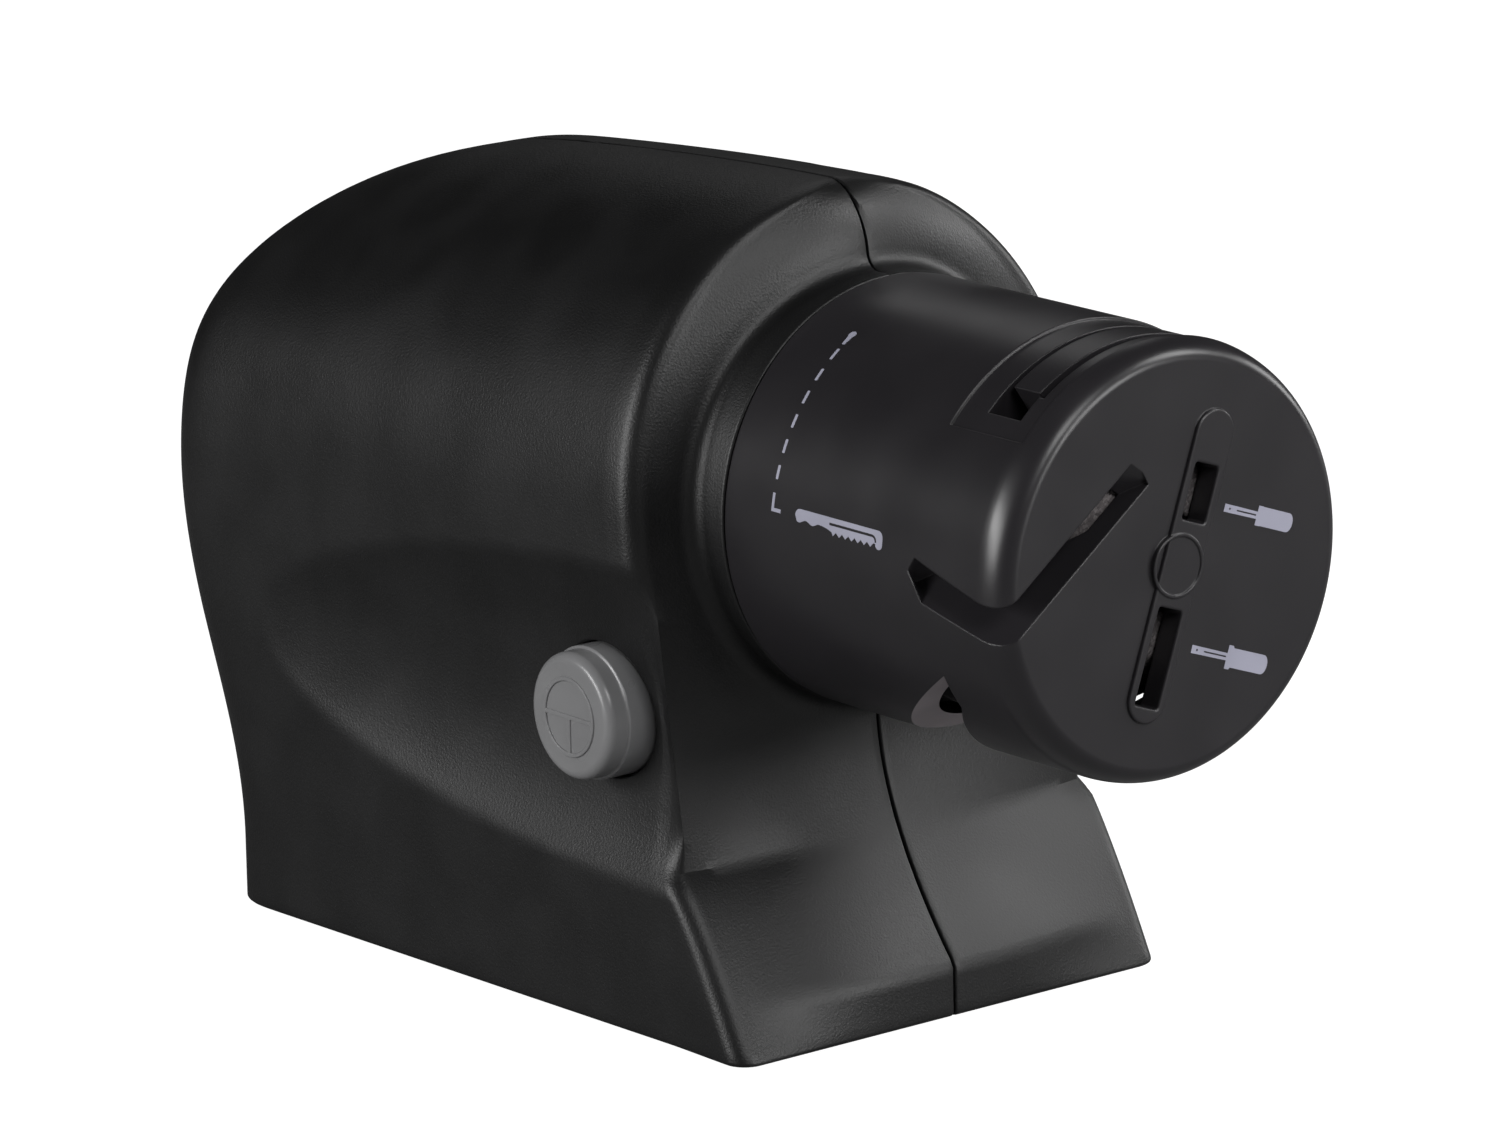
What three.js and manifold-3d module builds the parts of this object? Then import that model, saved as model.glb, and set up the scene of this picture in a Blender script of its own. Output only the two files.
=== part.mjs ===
// Cordless electric knife sharpener: a hump-shaped housing in two halves, a round
// guide cap over a motor-driven grinding wheel, and a push button in a thumb scoop.
// Millimetres, +Z up, the cap points to -Y and the button side is -X.
// The origin is on the ground, below the middle of the whole object.
import * as THREE from "three";
import { mergeVertices } from "three/addons/utils/BufferGeometryUtils.js";
import Module from "manifold-3d";

const wasm = await Module();
wasm.setup();

// Driving dimensions: the whole object
const OVERALL_LENGTH = 176.4;
const HOUSING_HEIGHT = 114.9;
const FOOT_PROUD = 1.2;
const SEAM_GAP = 0.3;
const FIT_GAP = 0.3;
const OVERRUN = 4;

// Driving dimensions: the housing's outer skin
const WALL = 2.4;
const FRONT_HALF_WIDTH = 40.5;
const BACK_HALF_WIDTH = 44.1;
const BASE_FRONT_HALF_WIDTH = 38;
const BASE_BACK_HALF_WIDTH = 42.2;
const FRONT_WIDEST_HEIGHT = 74;
const BACK_WIDEST_HEIGHT = 64;
const FRONT_WAIST_HEIGHT = 14;
const BACK_WAIST_HEIGHT = 9.5;
const BACK_BULGE = 10.1;
const BULGE_HEIGHT = 64.7;
const BACK_CORNER = 15.3;
const CREST_BACK_LENGTH = 57.1;
const CREST_DROP = 4.8;
const CREST_DROP_LENGTH = 80;
const RIDGE_KINK_HEIGHT = 24.2;
const RIDGE_KINK_AHEAD = 1.4;
const RIDGE_TOP_BEHIND = 5.6;
const RIDGE_FILLET = 3.2;
const FOOT_TOP_HEIGHT = 40.5;
const FOOT_BAND_HEIGHT = 7.5;
const FOOT_SWEEP = 15.6;
const SIDE_FOOT_SWEEP = 15.2;
const FACE_LEAN = 1.3;
const BROW_HEIGHT = 11.2;
const BROW_DEPTH = 8;
const ARCH_POWERS = { front: 1.94, back: 2.08, crest: 3.5, corner: 3.7, drop: 1.6, sweep: 1.8, side: 0.8 };

// Driving dimensions: the thumb scoops in the two sides
const SCOOP_AHEAD = 2.1;
const SCOOP_LENGTH = 89;
const SCOOP_HALF_HEIGHT = 22.3;
const SCOOP_BELOW_HEAD = 28.7;
const SCOOP_DEPTH = 4.7;
const SCOOP_POWER = 2.6;

// Driving dimensions: the guide cap and its slots
const HEAD_RADIUS = 30.2;
const HEAD_BELOW_TOP = 11.6;
const CAP_LENGTH = 57.7;
const CAP_WALL = 2.9;
const CAP_RIM = 2.9;
const CAP_RIM_LENGTH = 5;
const RING_PROUD = 0.7;
const PILL_PROUD = 0.5;
const PILL_WIDTH = 6.8;
const PILL_HALF_LENGTH = 18;
const PILL_TILT = 19.4;
const PILL_OFFSET = 0.75;
const RING_RADIUS = 3.9;
const RING_WIDTH = 0.5;
const DRIVER_SLOT_WIDTH = 4.1;
const SMALL_DRIVER_SLOT = { along: 10, length: 7.8 };
const LARGE_DRIVER_SLOT = { along: -12.5, length: 13.4 };
const KNIFE_SLOT_WIDTH = 4.3;
const KNIFE_SLOT_ALONG = 19;
const KNIFE_EDGE_BACK = { x: -29.85, z: 0.55 };
const KNIFE_EDGE_FRONT = { x: -5.8, z: 13.6 };
const KNIFE_CORNER = { x: -27, z: -2.5 };
const GUIDE_WALL = 1.7;
const TOP_STEP = { depth: 0.45, from: 0.8, to: 15.8, startAngle: -50, endAngle: 50 };
const TOP_GROOVE = { depth: 1.8, from: 3, to: 4.9, startAngle: -36, endAngle: 38 };
const SCISSOR_SLOT = { depth: 6.8, from: 9.6, to: 11, startAngle: -44, endAngle: 38 };
const SCISSOR_HOLE = { depth: 6.8, from: 4, to: 10.5, startAngle: -44, endAngle: -34 };
const SCISSOR_GUIDE = { depth: 6, from: 2.3, to: 12.7, startAngle: -47, endAngle: 41 };
const NOTCH = [
  { y: 12.5, z: -13.3 },
  { y: 41.5, z: -31.1 },
  { y: 41.5, z: -34 },
  { y: 22, z: -34 },
  { y: 22, z: -31 },
  { y: 19.5, z: -26.5 },
  { y: 15.4, z: -21.4 },
  { y: 12.5, z: -18.2 },
];

// Driving dimensions: the bayonet that holds the cap
const NOSE_RADIUS = 25.6;
const NOSE_WALL = 2;
const NOSE_FLANGE_RADIUS = 29.4;
const NOSE_FLANGE_THICKNESS = 2.4;
const NOSE_LENGTH = 41.5;
const COLLAR_PROUD = 4.6;
const COLLAR_SEAT_DEPTH = 8.8;
const BAYONET_COUNT = 3;
const BAYONET_TURN = 30;
const LUG_ANGLE = 24;
const LUG_THICKNESS = 3;
const LUG_DISTANCE = 8.4;
const BAYONET_FLANGE_THICKNESS = 2.5;
const STOP_ANGLE = 4;
const ENTRY_SPARE_ANGLE = 2;
const STOP_SPARE_ANGLE = 1;

// Driving dimensions: the motor, its shaft and the grinding wheel
const MOTOR_RADIUS = 13.85;
const MOTOR_LENGTH = 38;
const MOTOR_CAN_WALL = 1.2;
const END_CAP_THICKNESS = 5;
const END_CAP_BOSS = { proud: 1, wall: 1 };
const TERMINAL = { halfThickness: 0.3, halfWidth: 1.6, inset: 5, seat: 1 };
const BUSH_RADIUS = 3.1;
const BUSH_LENGTH = 3.2;
const SEAL_WIDTH = 2.3;
const SHAFT_RADIUS = 1.15;
const RUNNING_GAP = 0.35;
const ARMATURE_RADIUS = 9.4;
const ARMATURE_LENGTH = 20;
const ARMATURE_INSET = 5.75;
const ARMATURE_POLE_COUNT = 3;
const ARMATURE_SLOT_SHARES = { place: 0.72, radius: 1 / 3 };
const MAGNET_THICKNESS = 2.2;
const MAGNET_SPAN = 130;
const COMMUTATOR_RADIUS = 3.2;
const COMMUTATOR_LENGTH = 5;
const MOTOR_SCREW_SPACING = 8;
const WHEEL_RADIUS = 21;
const WHEEL_NOSE_RADIUS = 13;
const WHEEL_WIDTH = 21.5;
const WHEEL_BEHIND_RIM = 0.5;
const WHEEL_CLEARANCE = 1.2;
const WHEEL_BORE = 5.4;
const WHEEL_RECESS_RADIUS = 7.2;
const WHEEL_RECESS_DEPTH = 3.4;
const HUB_FLANGE_RADIUS = 12;
const HUB_FLANGE_THICKNESS = 2;
const HUB_TAIL = 1.2;
const WASHER_THICKNESS = 0.6;
const GRIP_DEPTH = 11;

// Driving dimensions: the button and its switch
const BUTTON_RADIUS = 9.4;
const BUTTON_BEHIND_FACE = 14.9;
const BUTTON_PROUD = 1.7;
const BUTTON_WALL = 1.7;
const BUTTON_EDGE = 1.4;
const BUTTON_TRAVEL = 3;
const BUTTON_FLANGE = { behind: 11.6, thickness: 1.4, width: 1.8 };
const BUTTON_STEM_RADIUS = 2;
const BUTTON_MARK = { radius: 5.4, width: 0.55, proud: 0.25 };
const BRACKET = { behind: 7.7, thickness: 1.6, sideMargin: 0.5, endMargin: 4.5, armLength: 9.5 };
const SWITCH = { behind: 2.3, length: 9.6, halfWidth: 3.7, halfHeight: 7 };
const SWITCH_TAB = { inset: 2, length: 4 };
const PLUNGER_RADIUS = 1.4;
const PLUNGER_LENGTH = 7;
const POST_RADIUS = 2.6;
const BUTTON_SPRING = { radius: 4.9, wire: 0.9 };
const BUTTON_SPRING_CURL_COUNT = 6;

// Driving dimensions: the battery bay
const CELL_RADIUS = 7.1;
const CELL_BODY_LENGTH = 49.2;
const CELL_NUB = { radius: 2.6, length: 1.3 };
const CELL_COUNT = 4;
const CELL_PITCH = 15.1;
const CELL_SPRING = { radius: 3.6, tip: 2.3, wire: 0.7, length: 5.7 };
const CELL_SPRING_CURL_COUNT = 4;
const CONTACT_THICKNESS = 0.4;
const CONTACT_HALF_WIDTH = 5.2;
const CONTACT_TAB = { width: 3, proud: 2.4 };
const TRAY_WALL = 1.4;
const TRAY_BACK_GAP = 11;
const HOLD_DOWN_AHEAD = 33.55;
const TRAY_FLANGE = 2.6;
const TRAY_FLANGE_THICKNESS = 1.5;
const COVER_THICKNESS = 2;
const COVER_RIB = 2;
const COVER_GRIP = { halfWidth: 9, length: 5, depth: 1 };

// Driving dimensions: feet, screws and leads
const FOOT_RADIUS = 4.4;
const FOOT_RECESS = 0.8;
const FEET = { frontInset: 10, frontBehind: 0.9, backInset: 16.2, backAhead: 5.7 };
const SCREW_PLACES = {
  top_front: { behindFace: 18.9, belowTop: 8.9 },
  top_rear: { aheadOfBack: 25.2, belowTop: 22.9 },
  base_rear: { aheadOfBack: 15.2, height: 30 },
  base_front: { behindFace: 2.9, height: 12 },
};
const BOSS_RADIUS = 5;
const SCREW_RADIUS = 1.4;
const SCREW_HEAD = { radius: 3, thickness: 2, seat: 12 };
const SCREW_REACH = 9;
const SCREW_TIP = 1;
const SMALL_SCREW = { radius: 0.95, headRadius: 2.3, headThickness: 1.4, reach: 7 };
const LEAD_RADIUS = 0.8;

// Places worked out from the driving dimensions
const FRONT_Y = -OVERALL_LENGTH / 2;
const BACK_Y = OVERALL_LENGTH / 2;
const BASE_BACK_Y = BACK_Y - BACK_BULGE;
const CAP_FACE_Y = FRONT_Y + RING_PROUD;
const RIM_Y = CAP_FACE_Y + CAP_RIM;
const CAP_BACK_Y = CAP_FACE_Y + CAP_LENGTH;
const COLLAR_Y = CAP_BACK_Y + FIT_GAP;
const FACE_Y = COLLAR_Y + COLLAR_PROUD;
const SEAT_Y = COLLAR_Y + COLLAR_SEAT_DEPTH;
const CAP_BORE = HEAD_RADIUS - CAP_WALL;
const HEAD_AXIS_HEIGHT = HOUSING_HEIGHT - HEAD_BELOW_TOP - HEAD_RADIUS;
const HEAD_AXIS = { x: 0, z: HEAD_AXIS_HEIGHT };
const WIDEST_HALF = Math.max(
  FRONT_HALF_WIDTH, BACK_HALF_WIDTH, BASE_FRONT_HALF_WIDTH, BASE_BACK_HALF_WIDTH,
);
const CREST_BACK_Y = BACK_Y - CREST_BACK_LENGTH;
const RIDGE_KINK_Y = FACE_Y - RIDGE_KINK_AHEAD;
const RIDGE_TOP_Y = FACE_Y + RIDGE_TOP_BEHIND;
const SCOOP_FRONT_Y = FACE_Y - SCOOP_AHEAD;
const SCOOP_HEIGHT = HEAD_AXIS_HEIGHT - SCOOP_BELOW_HEAD;
const BUTTON_Y = FACE_Y + BUTTON_BEHIND_FACE;
const BUTTON_HEIGHT = SCOOP_HEIGHT;
const BUTTON_FACE_X = -FRONT_HALF_WIDTH - BUTTON_PROUD;
const BUTTON_FLANGE_X = BUTTON_FACE_X + BUTTON_FLANGE.behind;
const BRACKET_X = BUTTON_FLANGE_X + BUTTON_FLANGE.thickness + BRACKET.behind;
const SWITCH_X = BRACKET_X + BRACKET.thickness + SWITCH.behind;
const SCREW_BOSSES = Object.entries(SCREW_PLACES).map(([name, place]) => ({
  name,
  y: "behindFace" in place ? FACE_Y + place.behindFace : BACK_Y - place.aheadOfBack,
  z: "height" in place ? place.height : HOUSING_HEIGHT - place.belowTop,
}));
const FULL_TURN = 360;
const HALF_TURN = FULL_TURN / 2;
const DEGREE = Math.PI / HALF_TURN;
const SECTOR_STEP_ANGLE = 8;

// Solids from three.js geometry, and back
function solidOf(geometry) {
  const bare = geometry.clone();
  for (const name of ["normal", "uv"]) bare.deleteAttribute(name);
  const merged = mergeVertices(bare, 1e-4);
  const index = merged.index.array;
  const kept = [];
  for (let i = 0; i < index.length; i += 3) {
    const [a, b, c] = [index[i], index[i + 1], index[i + 2]];
    if (a !== b && b !== c && c !== a) kept.push(a, b, c);
  }
  const vertProperties = new Float32Array(merged.attributes.position.array);
  const triVerts = new Uint32Array(kept);
  return new wasm.Manifold(new wasm.Mesh({ numProp: 3, vertProperties, triVerts }));
}

function geometryOf(solid) {
  const mesh = solid.getMesh();
  const geometry = new THREE.BufferGeometry();
  const points = new Float32Array(mesh.vertProperties);
  geometry.setAttribute("position", new THREE.BufferAttribute(points, 3));
  geometry.setIndex(new THREE.BufferAttribute(new Uint32Array(mesh.triVerts), 1));
  geometry.computeVertexNormals();
  return geometry;
}

const join = (...solids) => solids.reduce((whole, solid) => whole.add(solid));
const cut = (solid, ...tools) => tools.reduce((rest, tool) => rest.subtract(tool), solid);

// A box between two corners
function block(low, high) {
  const size = high.map((value, i) => value - low[i]);
  const middle = high.map((value, i) => (value + low[i]) / 2);
  return solidOf(new THREE.BoxGeometry(...size).translate(...middle));
}

// A solid of revolution about +Y through a point of the XZ plane; the outline runs
// round the section as pairs of radius and distance along the axis.
function turned(outline, { x, z }, segments) {
  const points = outline.map(([radius, along]) => new THREE.Vector2(radius, along));
  return solidOf(new THREE.LatheGeometry(points, segments).translate(x, 0, z));
}

// A plain round bar or hole along Y
function barY(radius, from, to, { x, z }, segments = 24) {
  return turned([[0, from], [radius, from], [radius, to], [0, to]], { x, z }, segments);
}

// A plain round bar or hole along X
function barX(radius, from, to, { y, z }, segments = 20) {
  const geometry = new THREE.CylinderGeometry(radius, radius, to - from, segments);
  return solidOf(geometry.rotateZ(Math.PI / 2).translate((from + to) / 2, y, z));
}

// A plain round bar or hole along Z
function barZ(radius, from, to, { x, y }, segments = 24) {
  const geometry = new THREE.CylinderGeometry(radius, radius, to - from, segments);
  return solidOf(geometry.rotateX(Math.PI / 2).translate(x, y, (from + to) / 2));
}

// A ring about Y between two radii
function ringY(inner, outer, from, to, centre, segments = 32) {
  const outline = [[inner, from], [outer, from], [outer, to], [inner, to], [inner, from]];
  return turned(outline, centre, segments);
}

// A wedge of space about the head's axis, from one angle to another, seen from the front
function sector(fromAngle, toAngle, radius, fromY, toY) {
  const shape = new THREE.Shape();
  const steps = Math.max(2, Math.ceil(Math.abs(toAngle - fromAngle) / SECTOR_STEP_ANGLE));
  shape.moveTo(0, 0);
  for (let i = 0; i <= steps; i += 1) {
    const angle = (fromAngle + ((toAngle - fromAngle) * i) / steps) * DEGREE;
    shape.lineTo(radius * Math.sin(angle), radius * Math.cos(angle));
  }
  const geometry = new THREE.ExtrudeGeometry(shape, { depth: toY - fromY, bevelEnabled: false });
  geometry.rotateX(Math.PI / 2).translate(0, toY, HEAD_AXIS_HEIGHT);
  return solidOf(geometry);
}

// Finishes of the pieces
function finish(color, roughness, metalness = 0) {
  return new THREE.MeshStandardMaterial({ color, roughness, metalness });
}
const FINISHES = {
  housing: () => finish(0x1b1b1c, 0.62),
  cap: () => finish(0x2b292d, 0.45),
  button: () => finish(0x6d6e70, 0.3),
  rubber: () => finish(0x161616, 0.85),
  stone: () => finish(0xb9b2a8, 0.95),
  whitePlastic: () => finish(0xd8d6cf, 0.5),
  blackPlastic: () => finish(0x202022, 0.55),
  steel: () => finish(0xb6b8bb, 0.3, 1),
  zincSteel: () => finish(0x9a9da1, 0.35, 1),
  brass: () => finish(0xc4a35a, 0.35, 1),
  copper: () => finish(0xb5683c, 0.4, 1),
  ferrite: () => finish(0x3b3a3a, 0.7),
  felt: () => finish(0x77736c, 0.95),
  cell: () => finish(0x2c5a46, 0.35, 0.2),
  redLead: () => finish(0xa8231c, 0.45),
  blackLead: () => finish(0x1d1d1f, 0.45),
};

const sharpener = new THREE.Group();
sharpener.position.z = FOOT_PROUD;

function piece(name, solid, finishName) {
  const mesh = new THREE.Mesh(geometryOf(solid), FINISHES[finishName]());
  mesh.name = name;
  sharpener.add(mesh);
}

// The housing's skin: rings at rising levels, each from the seam at the front round the
// side to the seam at the back, closing on a crest line at the top.
const clamp = (value) => Math.min(1, Math.max(0, value));
const superArc = (share, power) => (1 - clamp(share) ** power) ** (1 / power);
const ease = (share) => Math.sin((Math.PI / 2) * clamp(share)) ** 2;
const blend = (from, to, share) => from + (to - from) * share;

function scoopDepthAt(y, z) {
  const along = (y - SCOOP_FRONT_Y) / SCOOP_LENGTH;
  const across = (z - SCOOP_HEIGHT) / SCOOP_HALF_HEIGHT;
  const reach = Math.hypot(along, across);
  return reach < 1 ? SCOOP_DEPTH * (1 - reach ** SCOOP_POWER) : 0;
}

function halfRing(level, inset, counts) {
  const top = HOUSING_HEIGHT - inset;
  const rise = (from) => (level - from) / (top - from);
  const halfWidth = (base, widest, waist, height, power) =>
    level < height
      ? blend(base, widest, ease((level - waist) / (height - waist))) - inset
      : (widest - inset) * superArc(rise(height), power);
  const frontWidth = halfWidth(
    BASE_FRONT_HALF_WIDTH, FRONT_HALF_WIDTH, FRONT_WAIST_HEIGHT, FRONT_WIDEST_HEIGHT, ARCH_POWERS.front,
  );
  const backWidth = halfWidth(
    BASE_BACK_HALF_WIDTH, BACK_HALF_WIDTH, BACK_WAIST_HEIGHT, BACK_WIDEST_HEIGHT, ARCH_POWERS.back,
  );
  const bulge = ease((level - BACK_WAIST_HEIGHT) / (BULGE_HEIGHT - BACK_WAIST_HEIGHT));
  const backY = level < BULGE_HEIGHT
    ? BASE_BACK_Y + BACK_BULGE * bulge - inset
    : blend(CREST_BACK_Y, BACK_Y - inset, superArc(rise(BULGE_HEIGHT), ARCH_POWERS.crest));
  const footShare = clamp((FOOT_TOP_HEIGHT - level) / (FOOT_TOP_HEIGHT - FOOT_BAND_HEIGHT));
  const browShare = clamp((level - (top - BROW_HEIGHT)) / BROW_HEIGHT);
  const leanShare = (level - HEAD_AXIS_HEIGHT) / HOUSING_HEIGHT;
  const seamY = FACE_Y + FACE_LEAN * leanShare + inset - FOOT_SWEEP * footShare ** ARCH_POWERS.sweep
    + BROW_DEPTH * (1 - Math.sqrt(1 - browShare ** 2));
  const kinkShare = clamp((RIDGE_KINK_HEIGHT - level) / RIDGE_KINK_HEIGHT) ** ARCH_POWERS.side;
  const ridgeRise = clamp((level - RIDGE_KINK_HEIGHT) / (HOUSING_HEIGHT - RIDGE_KINK_HEIGHT));
  const plainRidgeY = blend(RIDGE_KINK_Y, RIDGE_TOP_Y, ridgeRise) - SIDE_FOOT_SWEEP * kinkShare + inset;
  const ridgeY = Math.max(seamY, blend(plainRidgeY, seamY, browShare ** 4));
  const dropAt = (y) => {
    const share = Math.max(0, (y - RIDGE_TOP_Y) / CREST_DROP_LENGTH);
    return CREST_DROP * share ** ARCH_POWERS.drop * ease(rise(FRONT_WIDEST_HEIGHT));
  };
  const fillet = Math.min(RIDGE_FILLET, frontWidth / 2);
  const corner = Math.min(BACK_CORNER, (backY - ridgeY) / 2);
  const widthAt = (y) => {
    const share = clamp((y - RIDGE_KINK_Y) / (BASE_BACK_Y - RIDGE_KINK_Y));
    return blend(frontWidth, backWidth, share);
  };
  const ring = [];
  const add = (x, y) => ring.push([x, y, level - dropAt(y)]);
  for (let i = 0; i < counts.face; i += 1) {
    const share = i / counts.face;
    add(share * (frontWidth - fillet), blend(seamY, ridgeY, share ** 2));
  }
  const scooped = (x, y) => Math.max(x - scoopDepthAt(y, level), 0);
  for (let i = 0; i <= counts.ridge; i += 1) {
    const angle = (i / counts.ridge) * (Math.PI / 2);
    const x = frontWidth - fillet + fillet * Math.sin(angle);
    const y = ridgeY + fillet * (1 - Math.cos(angle));
    const share = x > frontWidth - fillet ? (x - frontWidth + fillet) / fillet : 0;
    add(blend(x, scooped(x, y), share), y);
  }
  for (let i = 1; i <= counts.side; i += 1) {
    const y = blend(ridgeY + fillet, backY - corner, i / counts.side);
    add(scooped(widthAt(y), y), y);
  }
  for (let i = 1; i <= counts.corner; i += 1) {
    const angle = (i / counts.corner) * (Math.PI / 2);
    const y = backY - corner + corner * Math.sin(angle) ** (2 / ARCH_POWERS.corner);
    const x = widthAt(y) * Math.cos(angle) ** (2 / ARCH_POWERS.corner);
    add(i === counts.corner ? 0 : scooped(x, y), y);
  }
  return ring;
}

function housingSkin(inset, floor, counts) {
  const top = HOUSING_HEIGHT - inset;
  const levels = [];
  for (let i = 0; i < counts.lower; i += 1) {
    levels.push(blend(floor, FRONT_WIDEST_HEIGHT, i / counts.lower));
  }
  for (let i = 0; i <= counts.upper; i += 1) {
    const share = Math.sin((i / counts.upper) * (Math.PI / 2)) ** (2 / ARCH_POWERS.front);
    levels.push(blend(FRONT_WIDEST_HEIGHT, top, share));
  }
  const rings = levels.map((level) => halfRing(level, inset, counts));
  const columns = rings[0].length;
  const points = [];
  for (const side of [1, -1]) {
    for (const ring of rings) for (const [x, y, z] of ring) points.push(side * x, y, z);
  }
  const half = rings.length * columns;
  const triangles = [];
  const quad = (a, b, c, d) => triangles.push(a, b, c, a, c, d);
  for (let i = 0; i + 1 < rings.length; i += 1) {
    for (let j = 0; j + 1 < columns; j += 1) {
      const a = i * columns + j;
      quad(a, a + 1, a + 1 + columns, a + columns);
      quad(half + a + 1, half + a, half + a + columns, half + a + 1 + columns);
    }
  }
  for (let j = 0; j + 1 < columns; j += 1) quad(j, half + j, half + j + 1, j + 1);
  const geometry = new THREE.BufferGeometry();
  geometry.setAttribute("position", new THREE.BufferAttribute(new Float32Array(points), 3));
  geometry.setIndex(triangles);
  return solidOf(geometry);
}

const OUTER_COUNTS = { lower: 14, upper: 9, face: 4, ridge: 3, side: 10, corner: 5 };
const INNER_COUNTS = { lower: 6, upper: 6, face: 3, ridge: 1, side: 5, corner: 4 };
const outerSkin = housingSkin(0, 0, OUTER_COUNTS);
const innerSkin = housingSkin(WALL, WALL, INNER_COUNTS);
const middleSkin = housingSkin(WALL / 2, WALL / 2, INNER_COUNTS);

// The battery bay's plan, which the housing's floor and the tray share
const cellRowHalf = ((CELL_COUNT - 1) / 2) * CELL_PITCH;
const trayHalfWidth = cellRowHalf + CELL_RADIUS + 2 * FIT_GAP + TRAY_WALL;
const cellRoom = CELL_BODY_LENGTH + CELL_NUB.length + CELL_SPRING.length + 3 * FIT_GAP;
const trayBackY = BASE_BACK_Y - TRAY_BACK_GAP;
const contactBackY = trayBackY - TRAY_WALL - FIT_GAP - CONTACT_THICKNESS;
const contactFrontY = contactBackY - cellRoom - CONTACT_THICKNESS;
const trayFrontY = contactFrontY - FIT_GAP - TRAY_WALL;
const trayFloor = WALL + FIT_GAP;
const cellHeight = COVER_THICKNESS + COVER_RIB + FIT_GAP + CELL_RADIUS;
const trayRoof = cellHeight + CELL_RADIUS + FIT_GAP;
const trayTop = trayRoof + TRAY_WALL;

// The nose that carries the cap and the motor
const noseBackY = SEAT_Y + FIT_GAP + NOSE_FLANGE_THICKNESS + 3 * FIT_GAP + WALL;
const noseFrontY = noseBackY - NOSE_LENGTH;
const bulkheadY = noseFrontY + WALL;
const ribY = SEAT_Y + NOSE_FLANGE_THICKNESS + 2 * FIT_GAP;

function housingHalf(side) {
  const collar = barY(HEAD_RADIUS, COLLAR_Y, SEAT_Y, HEAD_AXIS, 56);
  const ribLow = [-FRONT_HALF_WIDTH, ribY, HEAD_AXIS_HEIGHT - MOTOR_RADIUS];
  const rib = block(ribLow, [FRONT_HALF_WIDTH, ribY + WALL, HOUSING_HEIGHT - WALL / 2]);
  const holdDownY = trayBackY - HOLD_DOWN_AHEAD;
  const holdDownLow = [-WIDEST_HALF, holdDownY, trayTop + FIT_GAP];
  const holdDownHigh = [WIDEST_HALF, holdDownY + WALL, trayTop + 4 * WALL];
  const holdDown = cut(
    block(holdDownLow, holdDownHigh),
    block([-cellRowHalf, ...holdDownLow.slice(1).map((v) => v - OVERRUN)],
      [cellRowHalf, ...holdDownHigh.slice(1).map((v) => v + OVERRUN)]),
  );
  const bosses = SCREW_BOSSES.map((boss) => barX(BOSS_RADIUS, -WIDEST_HALF, WIDEST_HALF, boss, 12));
  let shell = join(cut(outerSkin, innerSkin), join(rib, holdDown, ...bosses).intersect(middleSkin), collar);
  if (side < 0) shell = shell.add(buttonCarrier().intersect(middleSkin));
  const nose = barY(NOSE_RADIUS + FIT_GAP, COLLAR_Y - OVERRUN, ribY + WALL + OVERRUN, HEAD_AXIS, 48);
  const pocket = barY(NOSE_FLANGE_RADIUS + FIT_GAP, SEAT_Y, ribY, HEAD_AXIS, 48);
  const bayWidth = trayHalfWidth + FIT_GAP;
  const bay = block(
    [-bayWidth, trayFrontY - FIT_GAP, -OVERRUN],
    [bayWidth, trayBackY + FIT_GAP, trayFloor],
  );
  shell = cut(shell, nose, pocket, bay, ...footRecesses());
  for (const boss of SCREW_BOSSES) shell = shell.subtract(screwHole(side, boss));
  if (side < 0) shell = cut(shell, ...buttonHoles());
  const far = WIDEST_HALF + OVERRUN;
  const keep = side < 0 ? [-far, -SEAM_GAP / 2] : [SEAM_GAP / 2, far];
  return shell.intersect(block(
    [keep[0], FRONT_Y, -OVERRUN],
    [keep[1], BACK_Y + OVERRUN, HOUSING_HEIGHT + OVERRUN],
  ));
}

function screwHole(side, boss) {
  const clear = SCREW_RADIUS + FIT_GAP;
  if (side < 0) return barX(clear, -SCREW_REACH - FIT_GAP, OVERRUN, boss, 12);
  const seat = barX(SCREW_HEAD.radius + FIT_GAP, SCREW_HEAD.seat, WIDEST_HALF + OVERRUN, boss, 16);
  return barX(clear, -OVERRUN, SCREW_HEAD.seat + FIT_GAP, boss, 12).add(seat);
}

const feet = ["front_left", "front_right", "rear_left", "rear_right"].map((name) => {
  const side = name.endsWith("left") ? -1 : 1;
  const front = name.startsWith("front");
  const x = front ? BASE_FRONT_HALF_WIDTH - FEET.frontInset : BASE_BACK_HALF_WIDTH - FEET.backInset;
  const y = front ? FACE_Y + FEET.frontBehind : BASE_BACK_Y - FEET.backAhead;
  return { name: `foot_${name}`, x: side * x, y };
});

function footRecesses() {
  return feet.map((foot) => barZ(FOOT_RADIUS + FIT_GAP, -OVERRUN, FOOT_RECESS + FIT_GAP, foot, 20));
}

// The round guide and the two posts inside the button's side of the housing
const buttonAxis = { y: BUTTON_Y, z: BUTTON_HEIGHT };
const buttonBore = BUTTON_RADIUS + FIT_GAP;
const guideEnd = BUTTON_FLANGE_X - FIT_GAP;
const postEnd = BRACKET_X - FIT_GAP;
const postSpacing = buttonBore + WALL + FIT_GAP + POST_RADIUS;
const posts = [-1, 1].map((way) => ({ y: BUTTON_Y, z: BUTTON_HEIGHT + way * postSpacing }));

function buttonCarrier() {
  const guide = barX(buttonBore + WALL, -FRONT_HALF_WIDTH, guideEnd, buttonAxis, 28);
  const columns = posts.map((post) => barX(POST_RADIUS, -FRONT_HALF_WIDTH, postEnd, post, 12));
  return join(guide, ...columns);
}

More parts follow.
